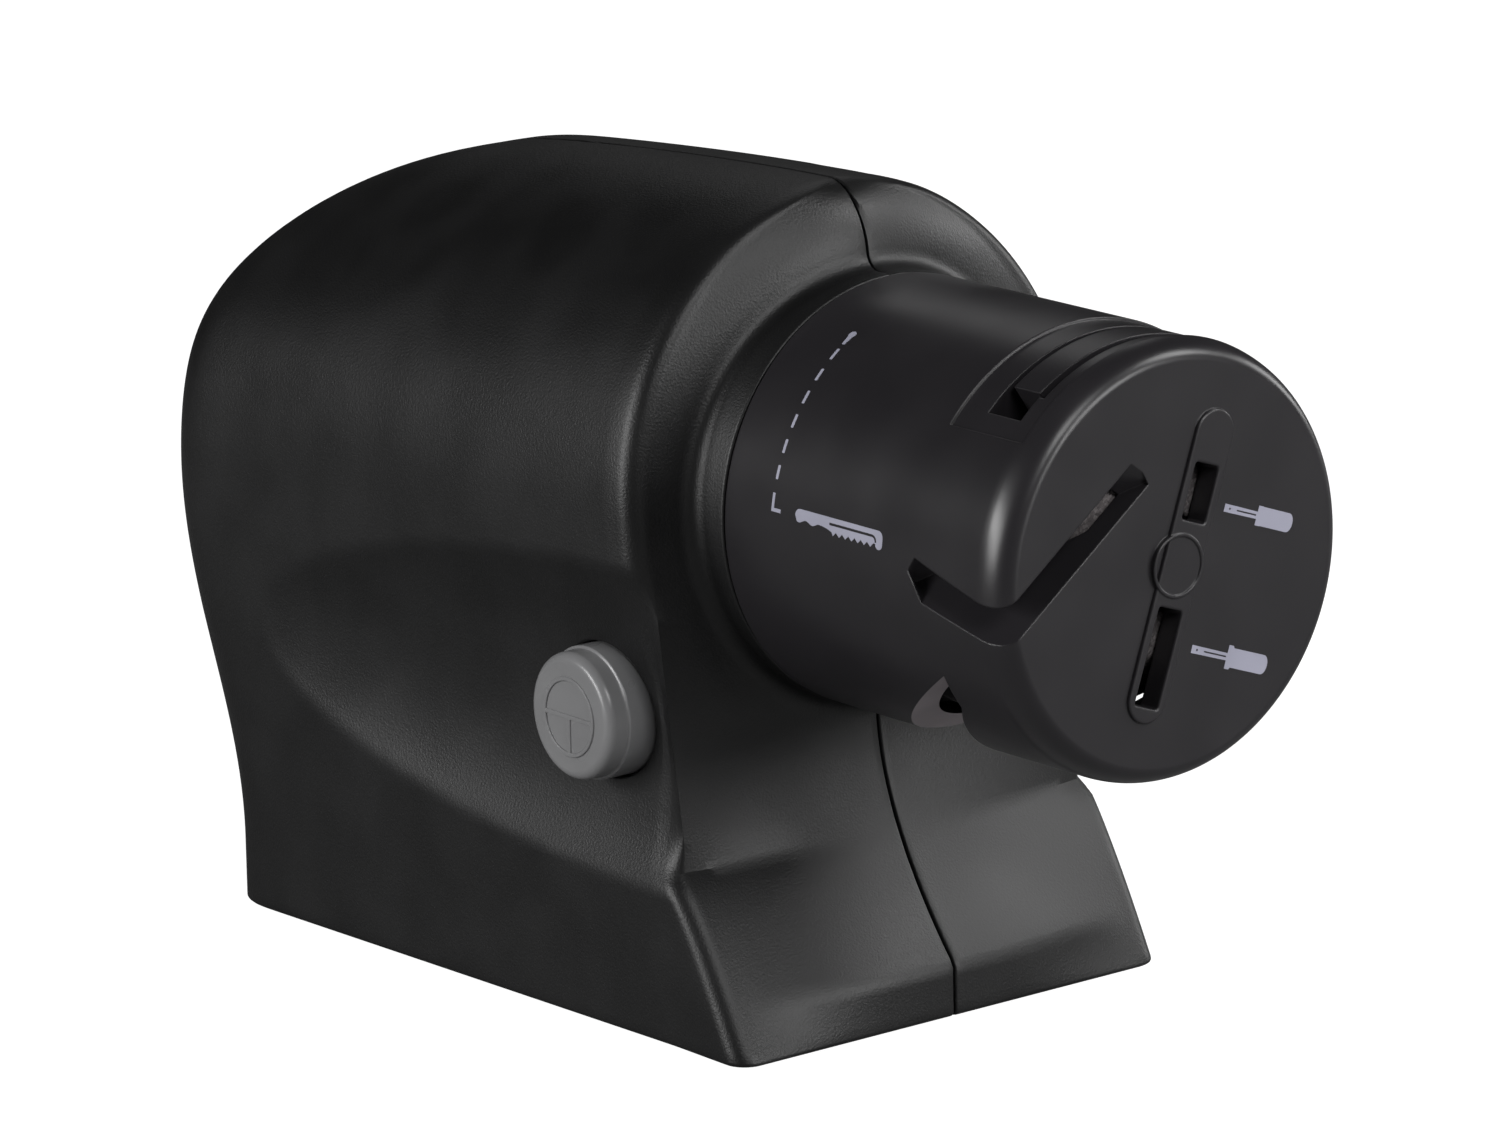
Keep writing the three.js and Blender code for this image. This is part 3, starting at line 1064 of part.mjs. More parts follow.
function batteryTray() {
  const outer = block([-trayHalfWidth, trayFrontY, trayFloor], [trayHalfWidth, trayBackY, trayTop]);
  const flange = block(
    [-trayHalfWidth - TRAY_FLANGE, trayFrontY - TRAY_FLANGE, trayFloor],
    [trayHalfWidth + TRAY_FLANGE, trayBackY + TRAY_FLANGE, trayFloor + TRAY_FLANGE_THICKNESS],
  );
  const inner = block(
    [-trayHalfWidth + TRAY_WALL, trayFrontY + TRAY_WALL, -OVERRUN],
    [trayHalfWidth - TRAY_WALL, trayBackY - TRAY_WALL, trayRoof],
  );
  const half = CONTACT_TAB.width / 2 + FIT_GAP;
  const tabSlots = [0, CELL_COUNT - 1].map((i) => block(
    [bayMiddleX(i) - half, contactFrontY - FIT_GAP, trayRoof - OVERRUN],
    [bayMiddleX(i) + half, contactFrontY + CONTACT_THICKNESS + FIT_GAP, tabTop],
  ));
  return cut(join(outer, flange), inner, ...tabSlots);
}
piece("battery_tray", batteryTray(), "blackPlastic");

function contactPlate(fromCell, toCell, y, tab) {
  const half = CONTACT_HALF_WIDTH;
  const low = [bayMiddleX(fromCell) - half, y, cellHeight - half];
  const high = [bayMiddleX(toCell) + half, y + CONTACT_THICKNESS, cellHeight + half];
  const plate = block(low, high);
  if (!tab) return plate;
  const x = bayMiddleX(fromCell);
  const tabHalf = CONTACT_TAB.width / 2;
  return plate.add(block([x - tabHalf, y, cellHeight], [x + tabHalf, y + CONTACT_THICKNESS, tabTop]));
}
piece("contact_plate_negative", contactPlate(0, 0, contactFrontY, true), "steel");
piece("contact_plate_front_bridge", contactPlate(1, 2, contactFrontY, false), "steel");
piece("contact_plate_positive", contactPlate(3, 3, contactFrontY, true), "steel");
piece("contact_plate_rear_bridge_left", contactPlate(0, 1, contactBackY, false), "steel");
piece("contact_plate_rear_bridge_right", contactPlate(2, 3, contactBackY, false), "steel");

for (let i = 0; i < CELL_COUNT; i += 1) {
  const noseToBack = i % 2 === 0;
  const way = noseToBack ? 1 : -1;
  const nubEnd = noseToBack ? contactBackY - FIT_GAP : contactFrontY + CONTACT_THICKNESS + FIT_GAP;
  const shoulder = nubEnd - way * CELL_NUB.length;
  const tail = shoulder - way * CELL_BODY_LENGTH;
  const centre = { x: bayMiddleX(i), z: cellHeight };
  const span = (a, b) => [Math.min(a, b), Math.max(a, b)];
  const cell = join(
    barY(CELL_RADIUS, ...span(shoulder, tail), centre, 28),
    barY(CELL_NUB.radius, ...span(nubEnd, shoulder - way * CELL_NUB.length), centre, 14),
  );
  piece(`battery_${i + 1}`, cell, "cell");
  spring(`battery_spring_${i + 1}`, {
    ...CELL_SPRING,
    curls: CELL_SPRING_CURL_COUNT,
    from: new THREE.Vector3(centre.x, tail - way * (FIT_GAP + CELL_SPRING.length), centre.z),
    to: new THREE.Vector3(centre.x, tail - way * FIT_GAP, centre.z),
  });
}

function batteryCover() {
  const plate = block([-trayHalfWidth, trayFrontY, 0], [trayHalfWidth, trayBackY, COVER_THICKNESS]);
  const ribHalf = trayHalfWidth - TRAY_WALL - FIT_GAP;
  const ribs = [1, 3].map((share) => {
    const y = blend(trayFrontY, trayBackY, share / 4);
    return block([-ribHalf, y - TRAY_WALL / 2, COVER_THICKNESS / 2],
      [ribHalf, y + TRAY_WALL / 2, COVER_THICKNESS + COVER_RIB]);
  });
  const { halfWidth, length, depth } = COVER_GRIP;
  const gripY = trayBackY - 2 * length;
  const grooves = [0, 1, 2].map((i) => {
    const y = gripY + (i * length) / 2;
    return block([-halfWidth, y, -OVERRUN], [halfWidth, y + length / 5, depth]);
  });
  return cut(join(plate, ...ribs), ...grooves);
}
piece("battery_cover", batteryCover(), "housing");

// The leads between the tray, the switch and the motor
function lead(name, points, finishName) {
  const path = new THREE.CatmullRomCurve3(points.map((point) => new THREE.Vector3(...point)));
  const shape = new THREE.Shape().absarc(0, 0, LEAD_RADIUS, 0, 2 * Math.PI, false);
  const geometry = new THREE.ExtrudeGeometry(shape, { steps: 12, curveSegments: 4, extrudePath: path });
  piece(name, solidOf(geometry), finishName);
}

const tabY = contactFrontY + CONTACT_THICKNESS / 2;
const tabEnd = switchTabX + SWITCH_TAB.length + FIT_GAP;
const motorTabY = terminalBackY + FIT_GAP;
lead("lead_battery_to_switch", [
  [bayMiddleX(3), tabY, tabTop + FIT_GAP],
  [bayMiddleX(3) - 2, tabY - 1, tabTop + 5],
  [bayMiddleX(2), BUTTON_Y + 8, tabTop + 7],
  [4, BUTTON_Y + 1, switchTabs[0] - 4],
  [tabEnd + 2, BUTTON_Y, switchTabs[0]],
  [tabEnd, BUTTON_Y, switchTabs[0]],
], "redLead");
lead("lead_switch_to_motor", [
  [tabEnd, BUTTON_Y, switchTabs[1]],
  [tabEnd + 2, BUTTON_Y, switchTabs[1]],
  [3, BUTTON_Y + 9, switchTabs[1] + 3],
  [terminals[0].x, motorTabY + 7, HEAD_AXIS_HEIGHT - 6],
  [terminals[0].x, motorTabY + 3, HEAD_AXIS_HEIGHT],
  [terminals[0].x, motorTabY, HEAD_AXIS_HEIGHT],
], "redLead");
lead("lead_battery_to_motor", [
  [bayMiddleX(0), tabY, tabTop + FIT_GAP],
  [bayMiddleX(0) + 2, tabY + 1, tabTop + 5],
  [bayMiddleX(1), motorTabY + 12, 40],
  [8, motorTabY + 12, HEAD_AXIS_HEIGHT - 12],
  [terminals[1].x, motorTabY + 4, HEAD_AXIS_HEIGHT],
  [terminals[1].x, motorTabY, HEAD_AXIS_HEIGHT],
], "blackLead");

console.log("least gap between the curls of each spring, mm:", springGaps);

export default sharpener;
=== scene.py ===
import math

import bmesh
import bpy
import numpy as np
from mathutils import Matrix, Vector
from mathutils.geometry import tessellate_polygon


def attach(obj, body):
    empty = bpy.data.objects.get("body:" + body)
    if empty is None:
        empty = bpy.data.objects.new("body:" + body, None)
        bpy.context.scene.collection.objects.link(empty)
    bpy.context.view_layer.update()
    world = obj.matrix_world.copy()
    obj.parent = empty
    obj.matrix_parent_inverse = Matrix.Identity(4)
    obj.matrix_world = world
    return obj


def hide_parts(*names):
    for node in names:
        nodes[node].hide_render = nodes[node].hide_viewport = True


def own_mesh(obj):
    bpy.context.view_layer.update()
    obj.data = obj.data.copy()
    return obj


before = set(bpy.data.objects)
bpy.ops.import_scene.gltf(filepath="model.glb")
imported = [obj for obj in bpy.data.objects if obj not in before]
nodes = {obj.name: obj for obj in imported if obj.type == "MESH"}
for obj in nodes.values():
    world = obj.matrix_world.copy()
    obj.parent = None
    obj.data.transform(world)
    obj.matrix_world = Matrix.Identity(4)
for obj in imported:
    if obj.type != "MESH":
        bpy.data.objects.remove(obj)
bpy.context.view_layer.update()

# The viewpoint, the table and the light
# A long lens looks down on the cap's end and the button's side from a metre away. The table is
# a wide pale sheet that glows for the camera alone, and seven soft lamps stand around it.


def new_object(name, data):
    """A new object that is linked to the scene."""
    made = bpy.data.objects.new(name, data)
    bpy.context.scene.collection.objects.link(made)
    return made


sight = Vector((0.602101, 0.760234, -0.243966)).normalized()
across = Vector((0.781158, -0.624104, -0.016925)).normalized()
upward = across.cross(sight).normalized()
eye = Vector((-0.66517, -0.83708, 0.32738))
sensor_width, lens_in_pixels, photo_width = 36, 7834.5, 1500
camera_data = bpy.data.cameras.new("viewpoint")
camera_data.sensor_width = sensor_width
camera_data.lens = lens_in_pixels * sensor_width / photo_width
camera_data.clip_start = 0.05
camera = new_object("viewpoint", camera_data)
camera.matrix_world = Matrix.Translation(eye) @ Matrix((across, upward, -sight)).transposed().to_4x4()
bpy.context.scene.camera = camera
bpy.context.scene.view_settings.view_transform = "Standard"


def finish_of(name):
    """A new node material, its tree and its surface shader."""
    material = bpy.data.materials.new(name)
    material.use_nodes = True
    return material, material.node_tree, material.node_tree.nodes["Principled BSDF"]


def add_node(tree, kind, **settings):
    """Adds a node and sets its own options and unlinked inputs by name."""
    node = tree.nodes.new(kind)
    for key, value in settings.items():
        if hasattr(node, key):
            setattr(node, key, value)
        else:
            node.inputs[key.replace("_", " ")].default_value = value
    return node


def join(tree, *pairs):
    """Links sockets of a tree, each pair from its start to its end."""
    for start, end in pairs:
        tree.links.new(start, end)


def ramp(tree, source, stops, target):
    """Turns a mask into colours between stops of position and colour."""
    node = tree.nodes.new("ShaderNodeValToRGB")
    while len(node.color_ramp.elements) < len(stops):
        node.color_ramp.elements.new(0.5)
    for element, (position, colour) in zip(node.color_ramp.elements, stops):
        element.position = position
        element.color = (*colour, 1)
    join(tree, (source, node.inputs["Fac"]), (node.outputs["Color"], target))
    return node


table_reach = 6.0
table_mesh = bpy.data.meshes.new("table")
table_corners = [(x * table_reach, y * table_reach, 0) for x, y in ((-1, -1), (1, -1), (1, 1), (-1, 1))]
table_mesh.from_pydata(table_corners, [], [(0, 1, 2, 3)])
table = new_object("table", table_mesh)
table_paint, table_tree, table_shader = finish_of("pale_table")
table_shader.inputs["Roughness"].default_value = 0.75
speck = add_node(table_tree, "ShaderNodeTexNoise", Scale=3.0)
table_stops = [(0.0, [0.2] * 3), (1.0, [0.22] * 3)]
tone = ramp(table_tree, speck.outputs["Fac"], table_stops, table_shader.inputs["Base Color"])
seen_directly = add_node(table_tree, "ShaderNodeLightPath")
glow = add_node(table_tree, "ShaderNodeMapRange", To_Min=0.09, To_Max=4.9)
join(
    table_tree,
    (tone.outputs["Color"], table_shader.inputs["Emission Color"]),
    (seen_directly.outputs["Is Camera Ray"], glow.inputs["Value"]),
    (glow.outputs["Result"], table_shader.inputs["Emission Strength"]),
)
table_mesh.materials.append(table_paint)

sky = bpy.data.worlds.new("studio")
sky.use_nodes = True
sky.node_tree.nodes["Background"].inputs["Color"].default_value = (1, 1, 1, 1)
sky.node_tree.nodes["Background"].inputs["Strength"].default_value = 0.02
bpy.context.scene.world = sky

lamp_distance = 1.3
lamp_target = Vector((0, 0, 0.06))


def lamp(name, azimuth, height, size, power):
    """A square soft lamp that looks at the object from an azimuth and height in degrees."""
    turn, lift = math.radians(azimuth), math.radians(height)
    ray = Vector((math.cos(turn) * math.cos(lift), math.sin(turn) * math.cos(lift), math.sin(lift)))
    light = bpy.data.lights.new(name, "AREA")
    light.shape = "RECTANGLE"
    light.size = size
    light.size_y = size
    light.energy = power
    stand = new_object(name, light)
    stand.location = lamp_target + lamp_distance * ray
    stand.rotation_euler = (-ray).to_track_quat("-Z", "Y").to_euler()


lamp("lamp_front", -68.5, 12, 0.45, 5.6)
lamp("lamp_right", -8.5, 12, 0.45, 3.4)
lamp("lamp_far_left", 157, 19, 0.3, 4.0)
lamp("lamp_left", 171.5, 12, 0.45, 6.4)
lamp("lamp_over_front", -98.5, 38, 0.45, 4.8)
lamp("lamp_over_right", -38.5, 38, 0.45, 5.4)
lamp("lamp_back", 51.5, 38, 0.45, 0.4)

# The housing halves
# Two thin-walled mouldings of black ABS with a fine spark-eroded grain, closed on the middle
# plane. Each has half of the collar round the guide cap and a long thumb scoop in its side.
MM = 0.001
foot_height, wall, seam_half = 1.2, 2.4, 0.15
housing_top, head_axis, collar_front = 114.9, 73.1, -29.5
# Half widths at the base and at their widest, the levels where they start to widen and are
# widest, and the power of the arch above.
front_widths = (38.0, 40.5, 14.0, 74.0, 1.94)
back_widths = (42.2, 44.1, 9.5, 64.0, 2.08)
widest_level, arch_power = front_widths[3:]
# The back's places along the housing, and the levels where it starts to swell and to arch.
back_waist, back_end, crest_back = 78.1, 88.2, 31.1
back_foot, back_bend, back_power = 9.5, 64.7, 3.5
# The front face: its place and lean, its skirt that runs out at the foot, its brow that runs
# back at the top, and the ridge beside it with a kink above the foot.
face_place, face_lean = -24.9, 1.3
skirt_top, skirt_height, skirt_reach, skirt_power = 40.5, 33.0, 15.6, 1.8
brow_height, brow_reach = 11.2, 8.0
ridge_place, ridge_lean, kink_height, kink_reach, kink_power = -26.3, 7.0, 24.2, 15.2, 0.8
ridge_fillet, corner_radius, corner_power = 3.2, 15.3, 3.7
crest_start, crest_run, crest_fall, crest_power = -19.3, 80.0, 4.8, 1.6
scoop_y, scoop_z, scoop_length, scoop_height, scoop_sink, scoop_power = -27, 44.4, 89, 22.3, 4.7, 2.6


def ease(share):
    """A smooth step: the squared sine of a quarter turn over the share from 0 to 1."""
    return np.sin(np.pi / 2 * np.clip(share, 0, 1)) ** 2


def super_arc(share, power):
    """Height of a superellipse arc: one minus share to the power, then the power's root."""
    return (1 - np.clip(share, 0, 1) ** power) ** (1 / power)


def half_width(level, top, inset, base, widest, waist, height, power):
    """Half width at a level: eased out from the base to the widest level, and above it an
    arch, the superellipse of the share of the height that is left."""
    lower = base + (widest - base) * ease((level - waist) / (height - waist)) - inset
    upper = (widest - inset) * super_arc((level - height) / (top - height), power)
    return np.where(level < height, lower, upper)


def scoop_depth(y, level):
    """Depth of the thumb scoop: full depth less a power of the distance from its centre,
    measured in an ellipse that is open towards the back."""
    reach = np.hypot((y - scoop_y) / scoop_length, (level - scoop_z) / scoop_height)
    return np.where(reach < 1, scoop_sink * (1 - np.clip(reach, 0, 1) ** scoop_power), 0)


def outline_at(level, inset):
    """The measures of the housing's plan outline at a level: half widths at the front and
    back, the face on the middle plane, the ridge beside it, and the back."""
    top = housing_top - inset
    front = half_width(level, top, inset, *front_widths)
    back = half_width(level, top, inset, *back_widths)
    arc = super_arc((level - back_bend) / (top - back_bend), back_power)
    swell = ease((level - back_foot) / (back_bend - back_foot))
    back_y = np.where(
        level < back_bend,
        back_waist + (back_end - back_waist) * swell - inset,
        crest_back + (back_end - inset - crest_back) * arc,
    )
    foot = np.clip((skirt_top - level) / skirt_height, 0, 1)
    brow = np.clip((level - (top - brow_height)) / brow_height, 0, 1)
    seam_y = (
        face_place + face_lean * (level - head_axis) / housing_top + inset
        - skirt_reach * foot ** skirt_power + brow_reach * (1 - np.sqrt(1 - brow ** 2))
    )
    kink = np.clip((kink_height - level) / kink_height, 0, 1) ** kink_power
    rise = np.clip((level - kink_height) / (housing_top - kink_height), 0, 1)
    ridge = ridge_place + ridge_lean * rise - kink_reach * kink + inset
    ridge = ridge + (seam_y - ridge) * brow ** 4
    return front, back, seam_y, np.maximum(seam_y, ridge), back_y


def crest_drop(y, level, top):
    """How far the crest falls towards the back, growing as a power of the distance."""
    share = np.maximum(0, (y - crest_start) / crest_run)
    return crest_fall * share ** crest_power * ease((level - widest_level) / (top - widest_level))


def width_along(y, front, back):
    """The half width at a distance from the front, in a straight taper between the two."""
    return front + (back - front) * np.clip((y - ridge_place) / (back_waist - ridge_place), 0, 1)


def skin(lane, level, inset):
    """A point of the housing's skin. Lane runs round the plan from the seam at the front:
    0 to 1 the face, a parabola from seam to ridge; 1 to 2 the ridge, a quarter circle;
    2 to 3 the side, a straight taper; 3 to 4 the back corner, a superellipse."""
    front, back, seam_y, ridge_y, back_y = outline_at(level, inset)
    fillet = np.minimum(ridge_fillet, front / 2)
    corner = np.minimum(corner_radius, (back_y - ridge_y) / 2)
    part = np.clip(lane, 0, 1)
    face_x = part * (front - fillet)
    face_y = seam_y + (ridge_y - seam_y) * part ** 2
    turn = np.clip(lane - 1, 0, 1) * np.pi / 2
    ridge_x = front - fillet + fillet * np.sin(turn)
    ridge_line = ridge_y + fillet * (1 - np.cos(turn))
    side_y = ridge_y + fillet + (back_y - corner - ridge_y - fillet) * np.clip(lane - 2, 0, 1)
    sweep = np.clip(lane - 3, 0, 1) * np.pi / 2
    ray = (np.cos(sweep) ** corner_power + np.sin(sweep) ** corner_power) ** (-1 / corner_power)
    corner_y = back_y - corner + corner * ray * np.sin(sweep)
    corner_x = width_along(corner_y, front, back) * ray * np.cos(sweep)
    y = np.where(lane <= 1, face_y, np.where(lane <= 2, ridge_line, np.where(lane <= 3, side_y, corner_y)))
    scoop = scoop_depth(y, level)
    share = np.clip(np.sin(turn), 0, 1)
    x = np.where(
        lane <= 1, face_x,
        np.where(lane <= 2, ridge_x - scoop * share,
                 np.where(lane <= 3, width_along(y, front, back) - scoop, corner_x - scoop)),
    )
    height = level - crest_drop(y, level, housing_top - inset)
    return np.stack([np.maximum(x, seam_half), y, height], -1)


def face_at(x, z, inset):
    """The depth of the front face at a point: the parabola of its share of the half width."""
    front, _, seam_y, ridge_y, _ = outline_at(z, inset)
    return seam_y + (ridge_y - seam_y) * (x / (front - np.minimum(ridge_fillet, front / 2))) ** 2


def side_at(y, z, inset):
    """The half width of the side at a point. The level that falls to height z is found by
    stepping it up by the crest's drop, and the back corner narrows as a superellipse."""
    level = z + 0 * y
    for _ in range(12):
        level = z + crest_drop(y, level, housing_top - inset)
    front, back, _, ridge_y, back_y = outline_at(level, inset)
    corner = np.minimum(corner_radius, (back_y - ridge_y) / 2)
    share = np.clip((y - back_y + corner) / corner, 0, 1)
    return width_along(y, front, back) * super_arc(share, corner_power) - scoop_depth(y, level)


def grid_faces(rows, columns, start=0, keep=None):
    """Quads between the rows of a grid of points, those whose cell is kept."""
    index = start + np.arange(rows * columns).reshape(rows, columns)
    quads = np.stack([index[:-1, :-1], index[:-1, 1:], index[1:, 1:], index[1:, :-1]], -1)
    return quads.reshape(-1, 4) if keep is None else quads[keep]


class Surface:
    """Patches of quads that are welded where their edge points meet."""

    def __init__(self):
        self.points = []
        self.faces = []
        self.count = 0

    def patch(self, points, keep=None, flip=False, closed=False):
        """Adds a grid of points, rows by columns, as quads."""
        points = np.asarray(points, float)
        if closed:
            points = np.concatenate([points, points[:, :1]], 1)
        rows, columns = points.shape[:2]
        quads = grid_faces(rows, columns, self.count, keep)
        self.points.append(points.reshape(-1, 3))
        self.faces += (quads[:, ::-1] if flip else quads).tolist()
        self.count += rows * columns

    def polygon(self, points, flip=False):
        """Adds one flat face with many corners."""
        points = np.asarray(points, float)
        order = list(range(self.count, self.count + len(points)))
        self.points.append(points)
        self.faces.append(order[::-1] if flip else order)
        self.count += len(points)

    def bar(self, rings):
        """Adds closed rings as a tube whose two ends are shut by flat faces."""
        self.patch(np.stack(rings), closed=True)
        self.polygon(rings[0])
        self.polygon(rings[-1], flip=True)
        return self

    def build(self, name, side=1, weld=0.004, sharp=32):
        """Makes the object in metres, on the ground, mirrored for the left side."""
        points = np.concatenate(self.points) * (side, 1, 1)
        mesh = bpy.data.meshes.new(name)
        placed = (points + (0, 0, foot_height)) * MM
        mesh.from_pydata(placed.tolist(), [], self.faces)
        work = bmesh.new()
        work.from_mesh(mesh)
        bmesh.ops.remove_doubles(work, verts=work.verts, dist=weld * MM)
        bmesh.ops.dissolve_degenerate(work, edges=work.edges, dist=weld * MM)
        bmesh.ops.recalc_face_normals(work, faces=work.faces)
        work.to_mesh(mesh)
        work.free()
        mesh.shade_smooth()
        mesh.set_sharp_from_angle(angle=math.radians(sharp))
        return new_object(name, mesh)


def loop_round(rows, j0, j1, i0, i1, closed):
    """The points of a grid round the edge of a block: up one row, along a column and back,
    and for a closed loop down to the start again."""
    low = rows[j0, i0:i1 + 1]
    far = rows[j0 + 1:j1 + 1, i1]
    high = rows[j1, i0:i1][::-1]
    near = rows[j0 + 1:j1, i0][::-1]
    return np.concatenate([low, far, high, near] if closed else [low, far, high])


def seam_rounding(points, normal):
    """Rounds an edge beside the middle plane: a point within the radius of it sinks along
    the normal by the radius times one minus the sine of a quarter circle."""
    radius = 0.35
    near = np.clip((points[..., 0] - seam_half) / radius, 0, 1)
    sink = radius * (1 - np.sqrt(1 - (1 - near) ** 2))
    moved = points - np.asarray(normal) * sink[..., None]
    moved[..., 0] = np.maximum(points[..., 0], seam_half)
    return moved


def profile_normals(line):
    """Unit normals of a curve in the middle plane, a quarter turn from its tangent."""
    tangent = np.gradient(line[:, 1:], axis=0)
    tangent /= np.maximum(np.linalg.norm(tangent, axis=1, keepdims=True), 1e-9)
    return np.stack([0 * tangent[:, 0], -tangent[:, 1], tangent[:, 0]], -1)


quarter = np.linspace(0, np.pi / 2, 6)
base_edge = 0.8
arch_height = housing_top - widest_level
edge_steps = base_edge * (1 - np.cos(quarter[:-1]))
arch = np.sin(np.linspace(0, np.pi / 2, 46)[:-1]) ** (2 / arch_power)
crest_arch = super_arc(np.array([0.5, 0.32, 0.2]) / front_widths[1], arch_power)
levels = np.concatenate([
    edge_steps, np.linspace(base_edge, widest_level, 60)[:-1],
    widest_level + arch_height * arch, widest_level + arch_height * crest_arch, [housing_top],
])
levels = np.unique(np.round(levels, 5))
edge_reach = np.sqrt(np.maximum(0, base_edge ** 2 - (base_edge - levels) ** 2))
insets = np.where(levels < base_edge, base_edge - edge_reach, 0.0)
near_seam = np.array([0.0040, 0.0054, 0.0086, 0.0135])
lanes = np.concatenate([
    near_seam, np.linspace(0, 1, 26)[1:-1], 1 + np.linspace(0, 1, 9)[:-1],
    2 + np.linspace(0, 1, 66)[:-1], 3 + np.linspace(0, 1, 34)[:-1], [3.9928, 3.9954, 3.9971, 3.9978],
])
inner_levels = np.interp(levels, [0.0, widest_level, housing_top], [wall, widest_level, housing_top - wall])
outer_grid = skin(lanes[None, :], levels[:, None], insets[:, None])
inner_grid = skin(lanes[None, :], inner_levels[:, None], wall)
front_normals = profile_normals(outer_grid[:, 0])
front_normals[0] = (0, -1, 0)
back_normals = -profile_normals(outer_grid[:, -1])
back_normals[0] = (0, 1, 0)
seam_normals = np.broadcast_to(np.array([0.0, 0, 1]), outer_grid.shape).copy()
seam_normals[:, lanes < 1] = front_normals[:, None]
seam_normals[:, lanes > 3] = back_normals[:, None]
rounded_grid = seam_rounding(outer_grid, seam_normals)

# Each shell screw's place along the housing and above its base, and its boss's radius.
SCREW_PLACES = [(-6.0, 106.0, 4.6), (63.0, 92.0, 4.6), (73.0, 30.0, 3.75), (-22.0, 12.0, 4.6)]
bay_front, bay_back, bay_half = 5.5, 67.4, 32.05


def block_about(y, z, reach):
    """Rows and columns of the skin's grid that enclose a circle on the side."""
    spare = 0.25
    rows, columns = [], []
    side_lanes = (lanes >= 2) & (lanes < 3.95)
    for grid in (outer_grid, inner_grid):
        near = (np.abs(grid[..., 1] - y) < reach + 3) & side_lanes
        highest = np.where(near, grid[..., 2], -np.inf).max(1)
        lowest = np.where(near, grid[..., 2], np.inf).min(1)
        rows.append(np.nonzero(near.any(1) & (highest < z - reach - spare))[0].max())
        rows.append(np.nonzero(near.any(1) & (lowest > z + reach + spare))[0].min())
    j0, j1 = min(rows), max(rows)
    for grid in (outer_grid, inner_grid):
        ys = grid[j0:j1 + 1, :, 1]
        inside = np.nonzero((ys.max(0) <= y - reach - spare) & side_lanes)[0]
        columns.append(inside.max() if len(inside) else np.nonzero(side_lanes)[0].min())
        columns.append(np.nonzero((ys.min(0) >= y + reach + spare) & side_lanes)[0].min())
    return j0, j1, min(columns), max(columns)


def on_side(points, inset):
    """Points laid on the side: each half width is the side's at its place and height."""
    points = points.copy()
    points[..., 0] = side_at(points[..., 1], points[..., 2], inset)
    return points


def on_front(points, inset):
    """Points laid on the front: each depth is the face's at its half width and height."""
    points = points.copy()
    points[..., 1] = face_at(points[..., 0], points[..., 2], inset)
    return points


def rings_between(loop, circle, steps, lay, inset):
    """Rings from a block's edge, which is the first, to a circle. Each goes on by an even
    share of the way, and all are laid back on the surface."""
    shares = (np.arange(steps + 1) / steps)[:, None, None]
    rings = lay(loop * (1 - shares) + circle * shares, inset)
    rings[0] = loop
    return rings


def side_port(shell, keep, y, z, through, outer_radius, boss_radius, wall_path):
    """Opens a round port in the side: rings close in on it over the outer skin, a path of
    radius and half width carries its walls, and rings spread again over the inner skin."""
    j0, j1, i0, i1 = block_about(y, z, max(outer_radius, boss_radius))
    keep["inner"][j0:j1, i0:i1] = False
    loop_in = loop_round(inner_grid, j0, j1, i0, i1, True)

    def circle(loop, radius):
        """A circle about the port: the radius times the cosine and sine of a point's angle."""
        turn = np.arctan2(loop[:, 2] - z, loop[:, 1] - y)
        return np.stack([0 * turn, y + radius * np.cos(turn), z + radius * np.sin(turn)], -1)

    walls = []
    if through:
        keep["outer"][j0:j1, i0:i1] = False
        loop_out = loop_round(outer_grid, j0, j1, i0, i1, True)
        rim = 0.35
        out_rings = rings_between(loop_out, circle(loop_out, outer_radius + rim), 4, on_side, 0.0)
        walls += list(out_rings)
        for turn in quarter[1:]:
            ring = circle(loop_out, outer_radius + rim * (1 - np.sin(turn)))
            ring[:, 0] = out_rings[-1][:, 0] - rim * (1 - np.cos(turn))
            walls.append(ring)
    for radius, x in wall_path:
        ring = circle(loop_in, radius)
        ring[:, 0] = x
        walls.append(ring)
    walls += list(rings_between(loop_in, circle(loop_in, boss_radius), 4, on_side, wall)[::-1])
    shell.patch(np.stack(walls), closed=True)


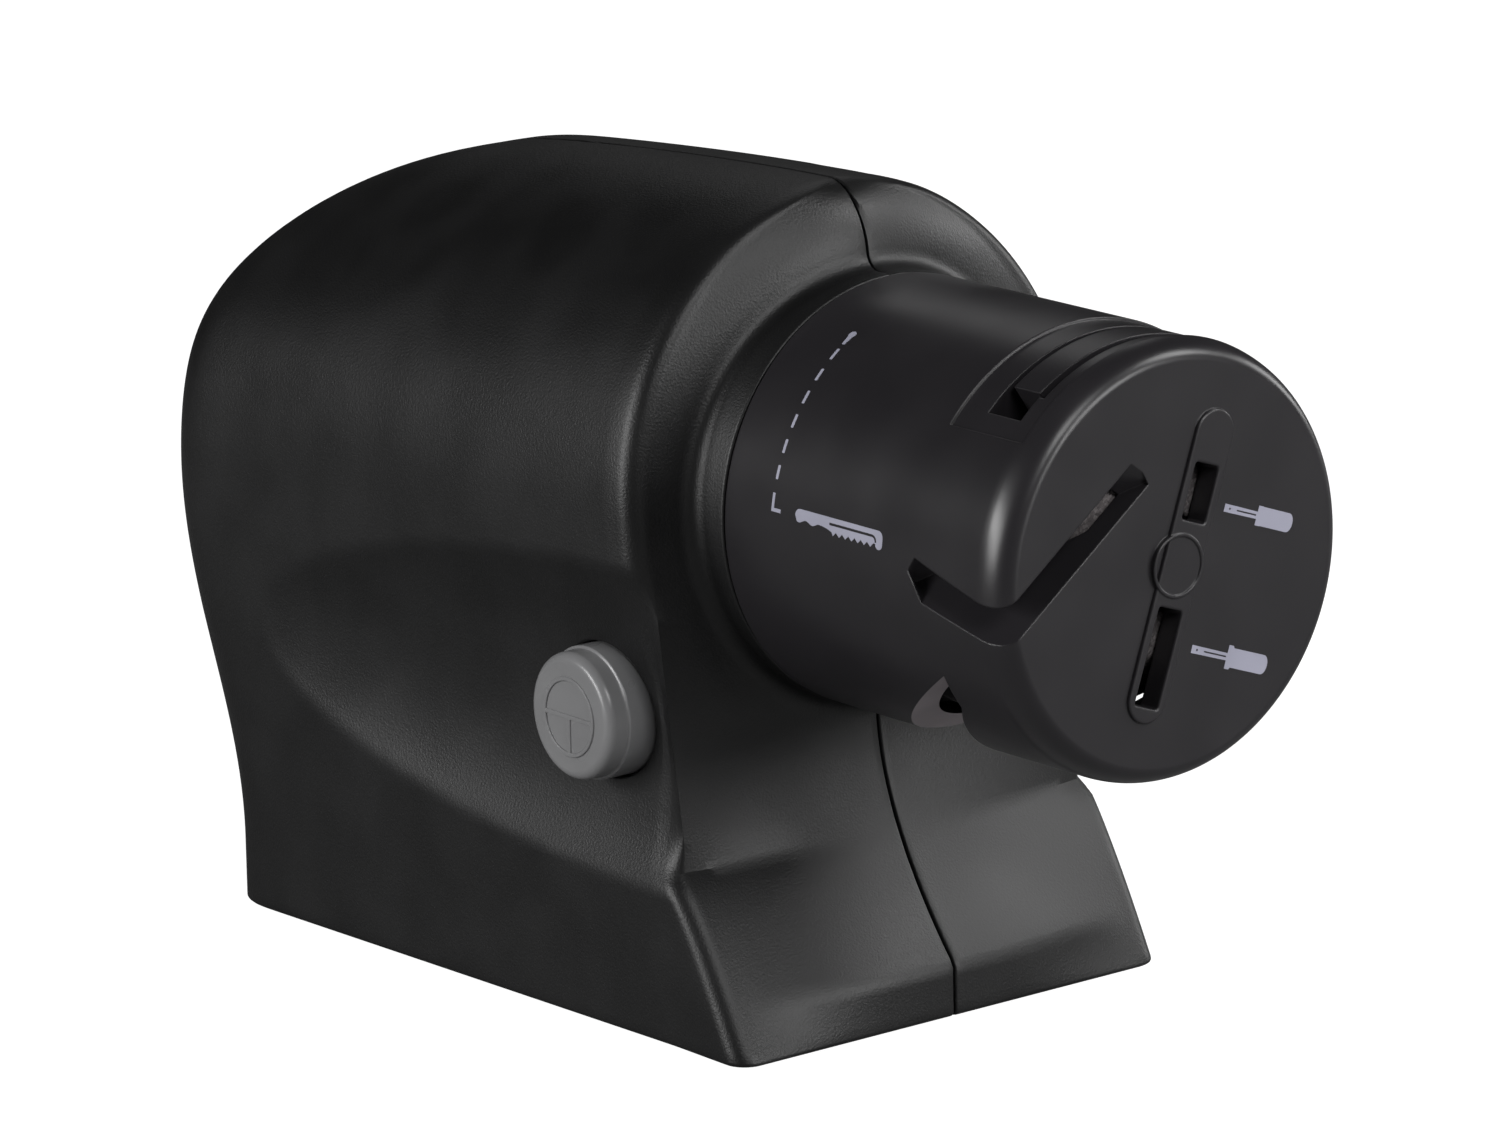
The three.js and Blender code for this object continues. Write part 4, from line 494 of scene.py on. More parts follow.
def housing_half(name, side, ports):
    """One half: skin, collar, floor with the bay's opening, ports, and the seam's wall."""
    shell = Surface()
    cells = (len(levels) - 1, len(lanes) - 1)
    keep = {"outer": np.ones(cells, bool), "inner": np.ones(cells, bool)}
    for port in ports:
        side_port(shell, keep, *port)

    i1 = int(np.nonzero((lanes <= 0.93) & (lanes > 0.5))[0].max())
    collar_reach = 33.4
    j0 = int(np.nonzero(levels < head_axis - collar_reach)[0].max())
    j1 = int(np.nonzero(levels > head_axis + collar_reach)[0].min())
    keep["outer"][j0:j1, :i1] = False
    keep["inner"][j0:j1, :i1] = False

    def circle_points(loop, radius, y):
        """A circle about the head's axis: the radius times the sine and cosine of a point's
        angle from upright, kept off the middle plane."""
        turn = np.arctan2(loop[:, 0], loop[:, 2] - head_axis)
        x = np.maximum(radius * np.sin(turn), seam_half)
        return np.stack([x, y + 0 * x, head_axis + radius * np.cos(turn)], -1)

    def radial(loop, out, forward):
        """The upright and forward parts of the collar's normals at each point's angle."""
        turn = np.arctan2(loop[:, 0], loop[:, 2] - head_axis)
        return np.stack([0 * turn, -forward + 0 * turn, out * np.cos(turn)], -1)

    root, body, bore = 32.7, 30.2, 25.9
    root_fillet, body_edge, bore_edge = 2.5, 0.4, 0.3
    loop = loop_round(outer_grid, j0, j1, 0, i1, False)
    face_rings = rings_between(loop, circle_points(loop, root, 0), 5, on_front, 0.0)
    rings = [seam_rounding(ring, (0, -1, 0)) for ring in face_rings]
    rings[0] = loop_round(rounded_grid, j0, j1, 0, i1, False)
    root_y = face_rings[-1][:, 1]
    for turn in quarter[1:]:
        fillet_y = root_y - root_fillet * (1 - np.cos(turn))
        ring = circle_points(loop, root - root_fillet * np.sin(turn), fillet_y)
        rings.append(seam_rounding(ring, radial(loop, np.sin(turn), np.cos(turn))))
    for turn in quarter:
        radius = body - body_edge * (1 - np.cos(turn))
        ring = circle_points(loop, radius, collar_front + body_edge * (1 - np.sin(turn)))
        rings.append(seam_rounding(ring, radial(loop, np.cos(turn), np.sin(turn))))
    rings.append(seam_rounding(circle_points(loop, bore + bore_edge, collar_front), (0, -1, 0)))
    rings.append(circle_points(loop, bore, collar_front + bore_edge))
    loop_in = loop_round(inner_grid, j0, j1, 0, i1, False)
    rings += list(rings_between(loop_in, circle_points(loop_in, bore, 0), 4, on_front, wall)[::-1])
    collar = np.stack(rings)
    shell.patch(collar)
    shell.polygon(collar[:, 0])
    shell.polygon(collar[:, -1], flip=True)

    def opening(loop, height):
        """Where the rays from the bay's middle to a loop of the floor cross its edge."""
        middle = np.array([0.0, (bay_front + bay_back) / 2])
        ray = loop[:, :2] - middle
        half = np.array([bay_half, (bay_back - bay_front) / 2])
        crossing = middle + ray / np.max(np.abs(ray) / half, axis=1, keepdims=True)
        for corner in ((bay_half, bay_front), (bay_half, bay_back)):
            crossing[np.argmin(np.linalg.norm(crossing - corner, axis=1))] = corner
        crossing[[0, -1], 0] = seam_half
        return np.column_stack([crossing, np.full(len(loop), height)])

    floor_out = rounded_grid[0]
    floor_in = inner_grid[0]
    bay_edge = 0.3
    lip = opening(floor_out, bay_edge)
    flat = opening(floor_out, 0.0)
    outward = flat[:, :2] - (0, (bay_front + bay_back) / 2)
    flat[:, :2] += bay_edge * outward / np.linalg.norm(outward, axis=1, keepdims=True)
    flat[[0, -1], 0] = seam_half
    shares = np.linspace(0, 1, 9)[:, None, None]
    under = floor_out * (1 - shares) + flat * shares
    above = opening(floor_out, wall) * (1 - shares) + floor_in * shares
    floor = np.concatenate([under, lip[None], above])
    shell.patch(floor)
    shell.polygon(floor[:, 0])
    shell.polygon(floor[:, -1], flip=True)

    shell.patch(rounded_grid, keep["outer"])
    shell.patch(inner_grid, keep["inner"], flip=True)
    seam = np.stack([rounded_grid, inner_grid])
    shell.patch(seam[:, :j0 + 1, 0])
    shell.patch(seam[:, j1:, 0])
    shell.patch(seam[:, :, -1], flip=True)
    shell.patch(seam[:, -1, :])
    return shell.build(name, side)


screw_clear, screw_seat, well_radius, pilot_end = 1.7, 12.3, 3.3, 9.3
button_y, button_z, port_radius, port_end = -10.0, 44.4, 9.7, 30.9
port_path = [(port_radius, port_end), (port_radius + 1.0, port_end)]
button_port = (button_y, button_z, True, port_radius, port_radius + 1.0, port_path)
screw_bosses, screw_wells = [], []
for screw_y, screw_z, boss in SCREW_PLACES:
    to_seam = [(screw_clear, seam_half), (boss, seam_half)]
    pilot = [(0.0, pilot_end), (screw_clear, pilot_end), *to_seam]
    well = [(well_radius, screw_seat), (screw_clear, screw_seat), *to_seam]
    screw_bosses.append((screw_y, screw_z, False, boss, boss, pilot))
    screw_wells.append((screw_y, screw_z, True, well_radius, boss, well))
housing_left = housing_half("housing_left", -1, [button_port, *screw_bosses])
housing_right = housing_half("housing_right", 1, screw_wells)


# The grain of a spark-eroded mould: rounded cells of one size, broken up by finer noise, and a
# slow mottle that tells where the surface is a little paler and duller.
grain_group = bpy.data.node_groups.new("mould_grain", "ShaderNodeTree")
for label, way, kind in (
    ("Place", "INPUT", "NodeSocketVector"), ("Size", "INPUT", "NodeSocketFloat"),
    ("Height", "OUTPUT", "NodeSocketFloat"), ("Mottle", "OUTPUT", "NodeSocketFloat"),
):
    grain_group.interface.new_socket(label, in_out=way, socket_type=kind)
grain_in = grain_group.nodes.new("NodeGroupInput")
grain_out = grain_group.nodes.new("NodeGroupOutput")
to_mm = add_node(grain_group, "ShaderNodeVectorMath", operation="SCALE", Scale=1 / MM)
sized = add_node(grain_group, "ShaderNodeMath", operation="DIVIDE")
sized.inputs[0].default_value = 1.0
cells_texture = add_node(grain_group, "ShaderNodeTexVoronoi", feature="SMOOTH_F1")
fine_noise = add_node(grain_group, "ShaderNodeTexNoise", Detail=4.0, Roughness=0.6)
slow_noise = add_node(grain_group, "ShaderNodeTexNoise", Scale=0.09, Detail=1.5, Roughness=0.4)
blend_height = add_node(grain_group, "ShaderNodeMath", operation="MULTIPLY_ADD")
blend_height.inputs[1].default_value = 0.6
join(
    grain_group,
    (grain_in.outputs["Place"], to_mm.inputs[0]),
    (grain_in.outputs["Size"], sized.inputs[1]),
    (to_mm.outputs["Vector"], cells_texture.inputs["Vector"]),
    (to_mm.outputs["Vector"], fine_noise.inputs["Vector"]),
    (to_mm.outputs["Vector"], slow_noise.inputs["Vector"]),
    (sized.outputs[0], cells_texture.inputs["Scale"]),
    (sized.outputs[0], fine_noise.inputs["Scale"]),
    (cells_texture.outputs["Distance"], blend_height.inputs[0]),
    (fine_noise.outputs["Fac"], blend_height.inputs[2]),
    (blend_height.outputs[0], grain_out.inputs["Height"]),
    (slow_noise.outputs["Fac"], grain_out.inputs["Mottle"]),
)


def spread(tree, source, low, high, target):
    """Maps a mask of 0.3 to 0.7 onto a range of values."""
    node = add_node(tree, "ShaderNodeMapRange", From_Min=0.3, From_Max=0.7, To_Min=low, To_Max=high)
    join(tree, (source, node.inputs["Value"]), (node.outputs["Result"], target))


def moulded(name, dark, pale, roughness, size, depth, edge=0.0, specular=0.5):
    """Moulded plastic: a mould's grain in relief, a slow mottle in tone and gloss, and
    edges that are rounded off by a fraction of a millimetre."""
    material, tree, shader = finish_of(name)
    place = add_node(tree, "ShaderNodeTexCoord")
    grain = tree.nodes.new("ShaderNodeGroup")
    grain.node_tree = grain_group
    grain.inputs["Size"].default_value = size
    relief = add_node(tree, "ShaderNodeBump", Strength=1.0, Distance=depth * MM)
    if edge:
        soft = add_node(tree, "ShaderNodeBevel", samples=6, Radius=edge * MM)
        join(tree, (soft.outputs["Normal"], relief.inputs["Normal"]))
    join(
        tree,
        (place.outputs["Object"], grain.inputs["Place"]),
        (grain.outputs["Height"], relief.inputs["Height"]),
        (relief.outputs["Normal"], shader.inputs["Normal"]),
    )
    mottle = grain.outputs["Mottle"]
    ramp(tree, mottle, [(0.35, dark), (0.65, pale)], shader.inputs["Base Color"])
    spread(tree, mottle, 0.94 * roughness, 1.08 * roughness, shader.inputs["Roughness"])
    shader.inputs["Specular IOR Level"].default_value = specular
    return material


def dress(target, material):
    """Gives a piece or a named CAD node one material, and a piece its slot."""
    target = nodes[target] if isinstance(target, str) else target
    target.data.materials.clear()
    target.data.materials.append(material)


housing_plastic = moulded(
    "grained_black_plastic", (0.005, 0.005, 0.0052), (0.0075, 0.0075, 0.0078), 0.42, 0.32, 0.04)
for half, node in ((housing_left, "left_shell"), (housing_right, "right_shell")):
    dress(half, housing_plastic)
    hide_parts(node)
    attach(half, "housing")

# The guide cap
# A round cup moulded in dark charcoal ABS, turned on a bayonet. Its face has a raised pill with
# two screwdriver slots and a ring, its top a stepped panel with grooves for scissors, its side a
# slanting knife slot with inner guide walls, and its underside a wedge cut out for the dust.
head_radius, cap_wall = 30.2, 2.9
cap_face, cap_back = -87.5, -29.8
rim_line = cap_face + cap_wall
cap_bore = head_radius - cap_wall
guide_floor = 6.0
EDGE = 0.2
# Each hollow on top: its depth, its start and end behind the rim, and its two angles.
TOP_BANDS = [
    (0.45, 0.8, 15.8, -50, 50),
    (1.8, 3.0, 4.9, -36, 38),
    (guide_floor, 9.6, 11.0, -44, 38),
    (guide_floor, 4.0, 10.5, -44, -34),
]
guide_start, guide_end, guide_left, guide_right = 2.3, 12.7, -47, 41
guide_slope, lug_slope = 0.3, 0.2
wheel_front = rim_line + 0.5
wheel_back = wheel_front + 21.5
LUGS = [(middle - 12, middle + 12) for middle in (-120, 0, 120)]
lug_front, lug_back, lug_rise = cap_back - 11.4, cap_back - 8.4, 1.4


def edge_lines(place, way):
    """Distances across a rounded edge, from where it starts to the foot of the wall."""
    return place + way * np.array([-0.25, 0.0, 0.35, 0.65, 0.87, 0.99, 1.1]) * EDGE


def sunk_by(inside, depth):
    """Depth below the surface at a distance inside a hollow's edge: a quarter circle over
    the edge, then a wall straight down to the hollow's depth."""
    share = np.clip(inside / EDGE, 0, 1)
    over = EDGE * (1 - np.sqrt(1 - share ** 2))
    return np.where(inside <= 0, 0.0, np.where(inside < 1.05 * EDGE, np.minimum(over, depth), depth))


def band_sink(angle, along):
    """The deepest of the hollows on the cap's top at an angle from upright and a distance
    behind the rim, both measured from the nearest edge of each hollow."""
    sink = np.zeros(np.broadcast(angle, along).shape)
    for depth, start, end, left, right in TOP_BANDS:
        arc_left = np.radians(angle - left) * head_radius
        arc_right = np.radians(right - angle) * head_radius
        inside = np.minimum(np.minimum(along - start, end - along), np.minimum(arc_left, arc_right))
        sink = np.maximum(sink, sunk_by(inside, depth))
    return sink


def bore_rise(angle, y):
    """How far the inside stands in from the bore: the scissors' guide walls and three lugs."""
    along = y - rim_line
    sideways = np.radians(np.minimum(angle - guide_left, guide_right - angle)) * cap_bore
    inside = np.minimum(np.minimum(along - guide_start, guide_end - along), sideways)
    rise = (guide_floor - cap_wall) * np.clip(inside / guide_slope, 0, 1)
    for left, right in LUGS:
        past_left = (angle - left + 180) % 360 - 180
        within = np.minimum(past_left, right - left - past_left)
        inside = np.minimum(np.minimum(y - lug_front, lug_back - y), np.radians(within) * cap_bore)
        rise = np.maximum(rise, lug_rise * np.clip(inside / lug_slope, 0, 1))
    return rise


def spaced(values):
    """Leaves out each value that is almost the same as the one before."""
    return values[np.concatenate([[True], np.diff(values) > 0.012])]


degree_mm = np.degrees(1 / head_radius)
angle_lines = [np.linspace(-180, 180, 289)[:-1]]
for _, _, _, left, right in TOP_BANDS:
    angle_lines += [left + edge_lines(0, 1) * degree_mm, right - edge_lines(0, 1) * degree_mm]
for left, right in [(guide_left, guide_right), *LUGS]:
    slope = np.degrees(np.array([0.0, guide_slope]) / cap_bore)
    angle_lines += [left + slope, right - slope]
angles = np.unique(np.round((np.concatenate(angle_lines) + 180) % 360 - 180, 3))
along_lines = [np.array([2.1, 2.6, 6, 7, 8, 12, 13, 14, 15, 17, 20, 24, 28, 32, 36, 52.5, 54.4])]
for _, start, end, _, _ in TOP_BANDS:
    along_lines += [edge_lines(start, 1), edge_lines(end, -1)]
for start, end, slope in (
    (guide_start, guide_end, guide_slope), (lug_front - rim_line, lug_back - rim_line, lug_slope),
):
    along_lines.append(np.array([start, start + slope, end - slope, end]))
alongs = spaced(np.unique(np.round(np.concatenate(along_lines), 3)))


def round_points(radius, y):
    """Points about the head's axis: the radius at each angle, clockwise from upright as seen
    from the front, and the distance along the axis."""
    turn = np.radians(angles)
    radius, y, turn = np.broadcast_arrays(radius, y, turn)
    return np.stack([radius * np.sin(turn), y, head_axis + radius * np.cos(turn)], -1)


cap_mould = Surface()
rim_depth = 5.0
rim_y = cap_face + rim_depth * (1 - np.cos(np.linspace(0, np.pi / 2, 16)))
outer_y = spaced(np.unique(np.concatenate([rim_y, rim_line + alongs[alongs > -1.5]])))
to_rim = np.clip(1 - (outer_y - cap_face) / rim_depth, 0, 1)
plain_radius = cap_bore + cap_wall * np.sqrt(1 - to_rim ** 2)
sink = band_sink(angles[None, :], (outer_y - rim_line)[:, None])
outer_radius = np.minimum(plain_radius[:, None], head_radius - sink)
closed_sink = np.concatenate([sink, sink[:, :1]], 1)
shallowest = np.minimum(closed_sink[:-1], closed_sink[1:])
deep = np.minimum(shallowest[:, :-1], shallowest[:, 1:]) > guide_floor - 0.01
cap_mould.patch(round_points(outer_radius, outer_y[:, None]), keep=~deep, closed=True)
inner_y = outer_y[outer_y > rim_line + 0.2]
inner_keep = ~deep[len(outer_y) - len(inner_y):]
inner_radius = cap_bore - bore_rise(angles[None, :], inner_y[:, None])
cap_mould.patch(round_points(inner_radius, inner_y[:, None]), keep=inner_keep, flip=True, closed=True)
back_edge, mouth_edge, back_turn = 0.4, 0.3, quarter[:, None]
cap_mould.patch(np.concatenate([
    round_points(head_radius, outer_y[-1:, None]),
    round_points(
        head_radius - back_edge * (1 - np.cos(back_turn)), cap_back - back_edge * (1 - np.sin(back_turn))),
    round_points(
        cap_bore + mouth_edge * (1 - np.sin(back_turn)), cap_back - mouth_edge * (1 - np.cos(back_turn))),
    round_points(cap_bore, inner_y[-1:, None]),
]), closed=True)
cap_mould.patch(np.concatenate([
    round_points(cap_bore, inner_y[:1, None]), round_points(cap_bore, np.array([[rim_line]])),
]), closed=True)
cap_mould.polygon(round_points(cap_bore, np.array([cap_face])))
cap_mould.polygon(round_points(cap_bore, np.array([rim_line])), flip=True)
guide_cap = cap_mould.build("guide_cap", weld=0.003, sharp=30)


def keep_changes(piece):
    """Makes what a piece's modifiers do a part of its mesh."""
    bpy.context.view_layer.update()
    made = bpy.data.meshes.new_from_object(piece.evaluated_get(bpy.context.evaluated_depsgraph_get()))
    piece.modifiers.clear()
    old = piece.data
    made.name = piece.name
    piece.data = made
    bpy.data.meshes.remove(old)


def carve(body, tool, how):
    """Joins a solid to a body, or takes it away or keeps only what they share, for good."""
    change = body.modifiers.new(how, "BOOLEAN")
    change.operation = how
    change.solver = "EXACT"
    change.object = tool
    keep_changes(body)
    bpy.data.objects.remove(tool)


def smooth_up_to(piece, angle):
    """Smooths a piece's edges up to an angle. Large faces set the shading where they meet
    small ones, so that flats stay flat."""
    piece.data.shade_smooth()
    piece.data.set_sharp_from_angle(angle=math.radians(angle))
    weigh = piece.modifiers.new("weigh", "WEIGHTED_NORMAL")
    weigh.keep_sharp = True
    weigh.weight = 90
    keep_changes(piece)


# The knife slot's end on the cap's side, its end on the face, and the corner below them,
# each as a half width, a distance along and a height above the head's axis.
KNIFE_SLOT = [(-29.85, cap_face + 19.0, 0.55), (-5.8, cap_face, 13.6), (-27.0, cap_face, -2.5)]


def slab(name, thickness, margin):
    """A box in the plane of the knife slot: as long as its edge, deep towards its corner."""
    back, front, corner = np.array(KNIFE_SLOT)
    along = (front - back) / np.linalg.norm(front - back)
    normal = np.cross(along, corner - back)
    normal /= np.linalg.norm(normal)
    outward = np.cross(normal, along)
    outward *= np.sign(outward @ (corner - back))
    half = np.linalg.norm(front - back) / 2 + margin
    middle = (front + back) / 2 + (0, 0, head_axis)
    ring = [(-half, -thickness / 2), (half, -thickness / 2), (half, thickness / 2), (-half, thickness / 2)]
    ring = np.array([middle + a * along + n * normal for a, n in ring])
    return Surface().bar([ring + depth * outward for depth in (-margin, head_radius - margin)]).build(name)


def lathe(name, outline, count=96):
    """A solid of revolution about the head's axis from pairs of radius and distance."""
    turn = np.linspace(0, 2 * np.pi, count + 1)[:-1]
    outline = np.asarray(outline, float)
    x = outline[:, :1] * np.sin(turn)
    z = head_axis + outline[:, :1] * np.cos(turn)
    solid = Surface()
    solid.patch(np.stack([x, outline[:, 1:] + 0 * x, z], -1), closed=True)
    return solid.build(name)


slot_width, slot_wall = 4.3, 1.7
knife_guide = slab("knife_guide", slot_width + 2 * slot_wall, slot_wall)
in_wall, in_front = 28.75, cap_face + 1.45
carve(knife_guide, lathe("inside", [
    (0, in_front), (in_wall, in_front), (in_wall, wheel_back), (0, wheel_back),
]), "INTERSECT")
bevel_back = wheel_front + 8.0
room_nose, room_radius, room_front, room_back = 13.6, 22.2, wheel_front - 1.2, wheel_back + 1.2
carve(knife_guide, lathe("wheel_room", [
    (0, room_front), (room_nose, room_front), (room_radius, bevel_back - 0.6), (room_radius, room_back),
    (0, room_back),
]), "DIFFERENCE")
carve(guide_cap, knife_guide, "UNION")
carve(guide_cap, slab("knife_slot", slot_width, 0.0), "DIFFERENCE")

NOTCH = [
    (12.5, -13.3), (41.5, -31.1), (41.5, -34.0), (22.0, -34.0),
    (22.0, -31.0), (19.5, -26.5), (15.4, -21.4), (12.5, -18.2),
]
notch_rings = np.array([[(x, rim_line + y, head_axis + z) for y, z in NOTCH] for x in (-34.0, 34.0)])
carve(guide_cap, Surface().bar(notch_rings).build("notch_tool"), "DIFFERENCE")

pill_tilt, pill_shift = np.radians(19.4), 0.75


def on_face(across, along, y):
    """Points of the cap's face from distances across and along the tilted pill."""
    across = np.asarray(across) + pill_shift
    x = across * np.cos(pill_tilt) + along * np.sin(pill_tilt)
    z = head_axis - across * np.sin(pill_tilt) + along * np.cos(pill_tilt)
    return np.stack([x, y + 0 * x, z], -1)


def stretched_circle(radius, half_length):
    """A pill's outline: two half circles joined by straight sides."""
    turn = np.linspace(0, np.pi, 25)
    upper = np.column_stack([radius * np.cos(turn), half_length + radius * np.sin(turn)])
    return np.concatenate([upper, -upper])


def rounded_oblong(half_width, low, high, corner):
    """A rectangle with quarter-circle corners."""
    turn = np.linspace(0, np.pi / 2, 5)
    arc = np.column_stack([np.cos(turn), np.sin(turn)]) * corner
    inner = half_width - corner
    return np.concatenate([
        arc + (inner, high - corner),
        arc[::-1] * (-1, 1) + (-inner, high - corner),
        -arc + (-inner, low + corner),
        arc[::-1] * (1, -1) + (inner, low + corner),
    ])


pill_radius, pill_half, pill_height, pill_edge = 3.4, 18.0, 0.5, 0.3
pill_rings = [on_face(*stretched_circle(pill_radius, pill_half).T, cap_face + 1.2)]
for turn in quarter:
    outline = stretched_circle(pill_radius - pill_edge * (1 - np.cos(turn)), pill_half)
    height = pill_height - pill_edge + pill_edge * np.sin(turn)
    pill_rings.append(on_face(*outline.T, cap_face - height))
carve(guide_cap, Surface().bar(pill_rings).build("pill"), "UNION")
driver_half, driver_edge, driver_corner = 2.05, 0.35, 0.4
driver_levels = [(driver_edge, cap_face - 1.2)]
for turn in quarter:
    level = cap_face - pill_height + driver_edge * (1 - np.cos(turn))
    driver_levels.append((driver_edge * (1 - np.sin(turn)), level))
driver_levels.append((0.0, rim_line + 1.0))
for low, high in ((6.1, 13.9), (-19.2, -5.8)):
    slot_rings = []
    for widen, level in driver_levels:
        outline = rounded_oblong(driver_half + widen, low - widen, high + widen, driver_corner + widen)
        slot_rings.append(on_face(*outline.T, level))
    carve(guide_cap, Surface().bar(slot_rings).build("slot_tool"), "DIFFERENCE")
ring_in, ring_out, ring_top = 3.9, 4.4, cap_face - 0.7
carve(guide_cap, lathe("face_ring", [
    (ring_in, cap_face), (ring_in, ring_top + 0.1), (ring_in + 0.1, ring_top), (ring_out - 0.1, ring_top),
    (ring_out, ring_top + 0.1), (ring_out, cap_face), (ring_in, cap_face),
], 72), "UNION")
smooth_up_to(guide_cap, 30)


def per_face(piece, what):
    """The normal or the middle of each face of a piece."""
    values = np.empty(len(piece.data.polygons) * 3)
    piece.data.polygons.foreach_get(what, values)
    return values.reshape(-1, 3)


cap_plastic = moulded(
    "satin_charcoal_plastic", (0.019, 0.0177, 0.02), (0.0215, 0.02, 0.0225), 0.31, 0.22, 0.005, edge=0.3)
dress(guide_cap, cap_plastic)
# Painted reflection: the faces of the dust notch's walls get a pale, dull copy of the cap's plastic that
# paints in the pale table reflected in them, in place of its light.
cap_painted_reflection = moulded("charcoal_plastic_painted_reflection", (0.36, 0.325, 0.345), (0.44, 0.4, 0.42), 0.6, 0.22, 0.004)
guide_cap.data.materials.append(cap_painted_reflection)
_, behind_rim, above_axis = (per_face(guide_cap, "center") / MM - (0, rim_line, head_axis + foot_height)).T
in_notch = (above_axis < -13.2) & (behind_rim > 12.4) & (behind_rim < 41.6)
in_notch &= np.abs(per_face(guide_cap, "normal")[:, 0]) < 0.05
guide_cap.data.polygons.foreach_set("material_index", in_notch.astype(np.int32))
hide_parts("head_cap")
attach(guide_cap, "guide_cap")

# The printed marks on the cap
# Pale lavender-grey ink, pad printed: a dashed line that leads to the knife slot, a serrated
# knife below it, and a small screwdriver beside each of the two driver slots.
ink_height, ink_strip = 0.03, 0.8
dash_line, dash_half, dash_pitch, dash_span = 44.5, 0.25, 6.83, 3.7
dash_start, dot_angle, corner_angles = -36.8, -31.4, (-78.1, -82.9)


def inked(name, shapes, lay, strip=None):
    """A film of ink. Flat outlines with their holes are filled with triangles, cut into strips
    that can follow the round, and laid on the surface with a top, a back and edges."""
    work = bmesh.new()
    for loops in shapes:
        flat_loops = [[Vector((*point, 0)) for point in loop] for loop in loops]
        corners = [work.verts.new(point) for loop in flat_loops for point in loop]
        for triangle in tessellate_polygon(flat_loops):
            work.faces.new([corners[index] for index in triangle])
    reach = [vert.co.x for vert in work.verts]
    for place in np.arange(min(reach) + strip, max(reach), strip) if strip else []:
        whole = [*work.verts, *work.edges, *work.faces]
        bmesh.ops.bisect_plane(work, geom=whole, plane_co=(place, 0, 0), plane_no=(1, 0, 0))
    raised = bmesh.ops.extrude_face_region(work, geom=work.faces[:], use_keep_orig=True)["geom"]
    upper = [part for part in raised if isinstance(part, bmesh.types.BMVert)]
    bmesh.ops.translate(work, verts=upper, vec=(0, 0, 1))
    work.verts.index_update()
    flat = np.array([vert.co[:] for vert in work.verts])
    film = Surface()
    film.points.append(lay(flat[:, 0], flat[:, 1], ink_height * (2 * flat[:, 2] - 1)))
    film.faces += [[vert.index for vert in face.verts] for face in work.faces]
    work.free()
    return film.build(name)


def arc_at(angle):
    """Distance round the cap at an angle from upright."""
    return np.radians(angle) * head_radius


def lay_on_cap(arc, along, lift):
    """Points on the cap's side from the distance round it and the distance behind the rim."""
    radius = head_radius + lift
    turn = arc / head_radius
    return np.stack([radius * np.sin(turn), rim_line + along, head_axis + radius * np.cos(turn)], -1)


def lay_on_face(across, along, lift):
    """Points on the cap's flat face from distances across and along the pill."""
    return on_face(across, along, cap_face - lift)


def knife_outline():
    """A bread knife seen from the side: a grip with two waves, a belly that falls as a square,
    seven teeth and a round tip; and the slit along its blade, which turns down at its end."""
    turn = np.linspace(0, np.pi / 2, 6)
    heel = np.column_stack([0.9 - 0.9 * np.cos(turn), 0.9 - 0.9 * np.sin(turn)])
    shoulder = np.column_stack([17.3 + np.sin(turn), 1 - np.cos(turn)])
    sweep = np.linspace(0, np.pi, 9)
    tip = np.column_stack([17.6 + 0.7 * np.cos(sweep), 1.85 + 0.7 * np.sin(sweep)])
    order = np.repeat(np.arange(7), 2)
    teeth = np.column_stack([16.5 - 0.6 * np.tile([0, 1], 7) - 1.3 * order, np.tile([1.85, 2.4], 7)])
    back = np.linspace(7.8, 5.2, 7)
    belly = np.column_stack([back, 1.42 + 0.5 * ((back - 4.9) / 2.9) ** 2])
    hold = np.linspace(4.9, 0.45, 14)
    grip = np.column_stack([hold, 1.6 + 0.22 * np.cos(2 * np.pi * (hold - 0.9) / 2.8)])
    outer = np.column_stack([16.1 + np.sin(turn), 1.7 - np.cos(turn)])
    inner = np.column_stack([16.1 + 0.65 * np.sin(turn), 1.7 - 0.65 * np.cos(turn)])[::-1]
    slit = np.concatenate([[(7.2, 0.7)], outer, inner, [(7.2, 1.05)]])
    loops = [np.concatenate([heel, shoulder, tip, teeth, belly, grip]), slit]
    return [np.column_stack([arc_at(-80.4) - loop[:, 1], 39.7 - loop[:, 0]]) for loop in loops]


def driver_outline(tip, neck, end, height, blade, handle, collar):
    """A screwdriver seen from the side: a flat blade with a line along it, and a handle with
    a collar at its neck and an elliptic end."""
    turn = np.linspace(-np.pi / 2, np.pi / 2, 11)
    cap_end = np.column_stack([end - 0.9 * (1 - np.cos(turn)), handle * np.sin(turn)])
    shoulder = handle + collar
    low = [
        (tip, -blade), (neck, -0.9 * blade), (neck, -shoulder),
        (neck + 0.8, -shoulder), (neck + 1.0, -handle),
    ]
    loop = np.concatenate([low, cap_end, np.array(low[::-1]) * (1, -1)])
    line = np.array([(tip + 2.3, -0.1), (neck - 0.15, -0.1), (neck - 0.15, 0.1), (tip + 2.3, 0.1)])
    spot_turn = np.linspace(0, 2 * np.pi, 9)[:-1]
    spot = np.column_stack([tip + 1.0 + 0.17 * np.cos(spot_turn), 0.17 * np.sin(spot_turn)])
    return [np.array(part) + (0, height) for part in (loop, line, spot)]


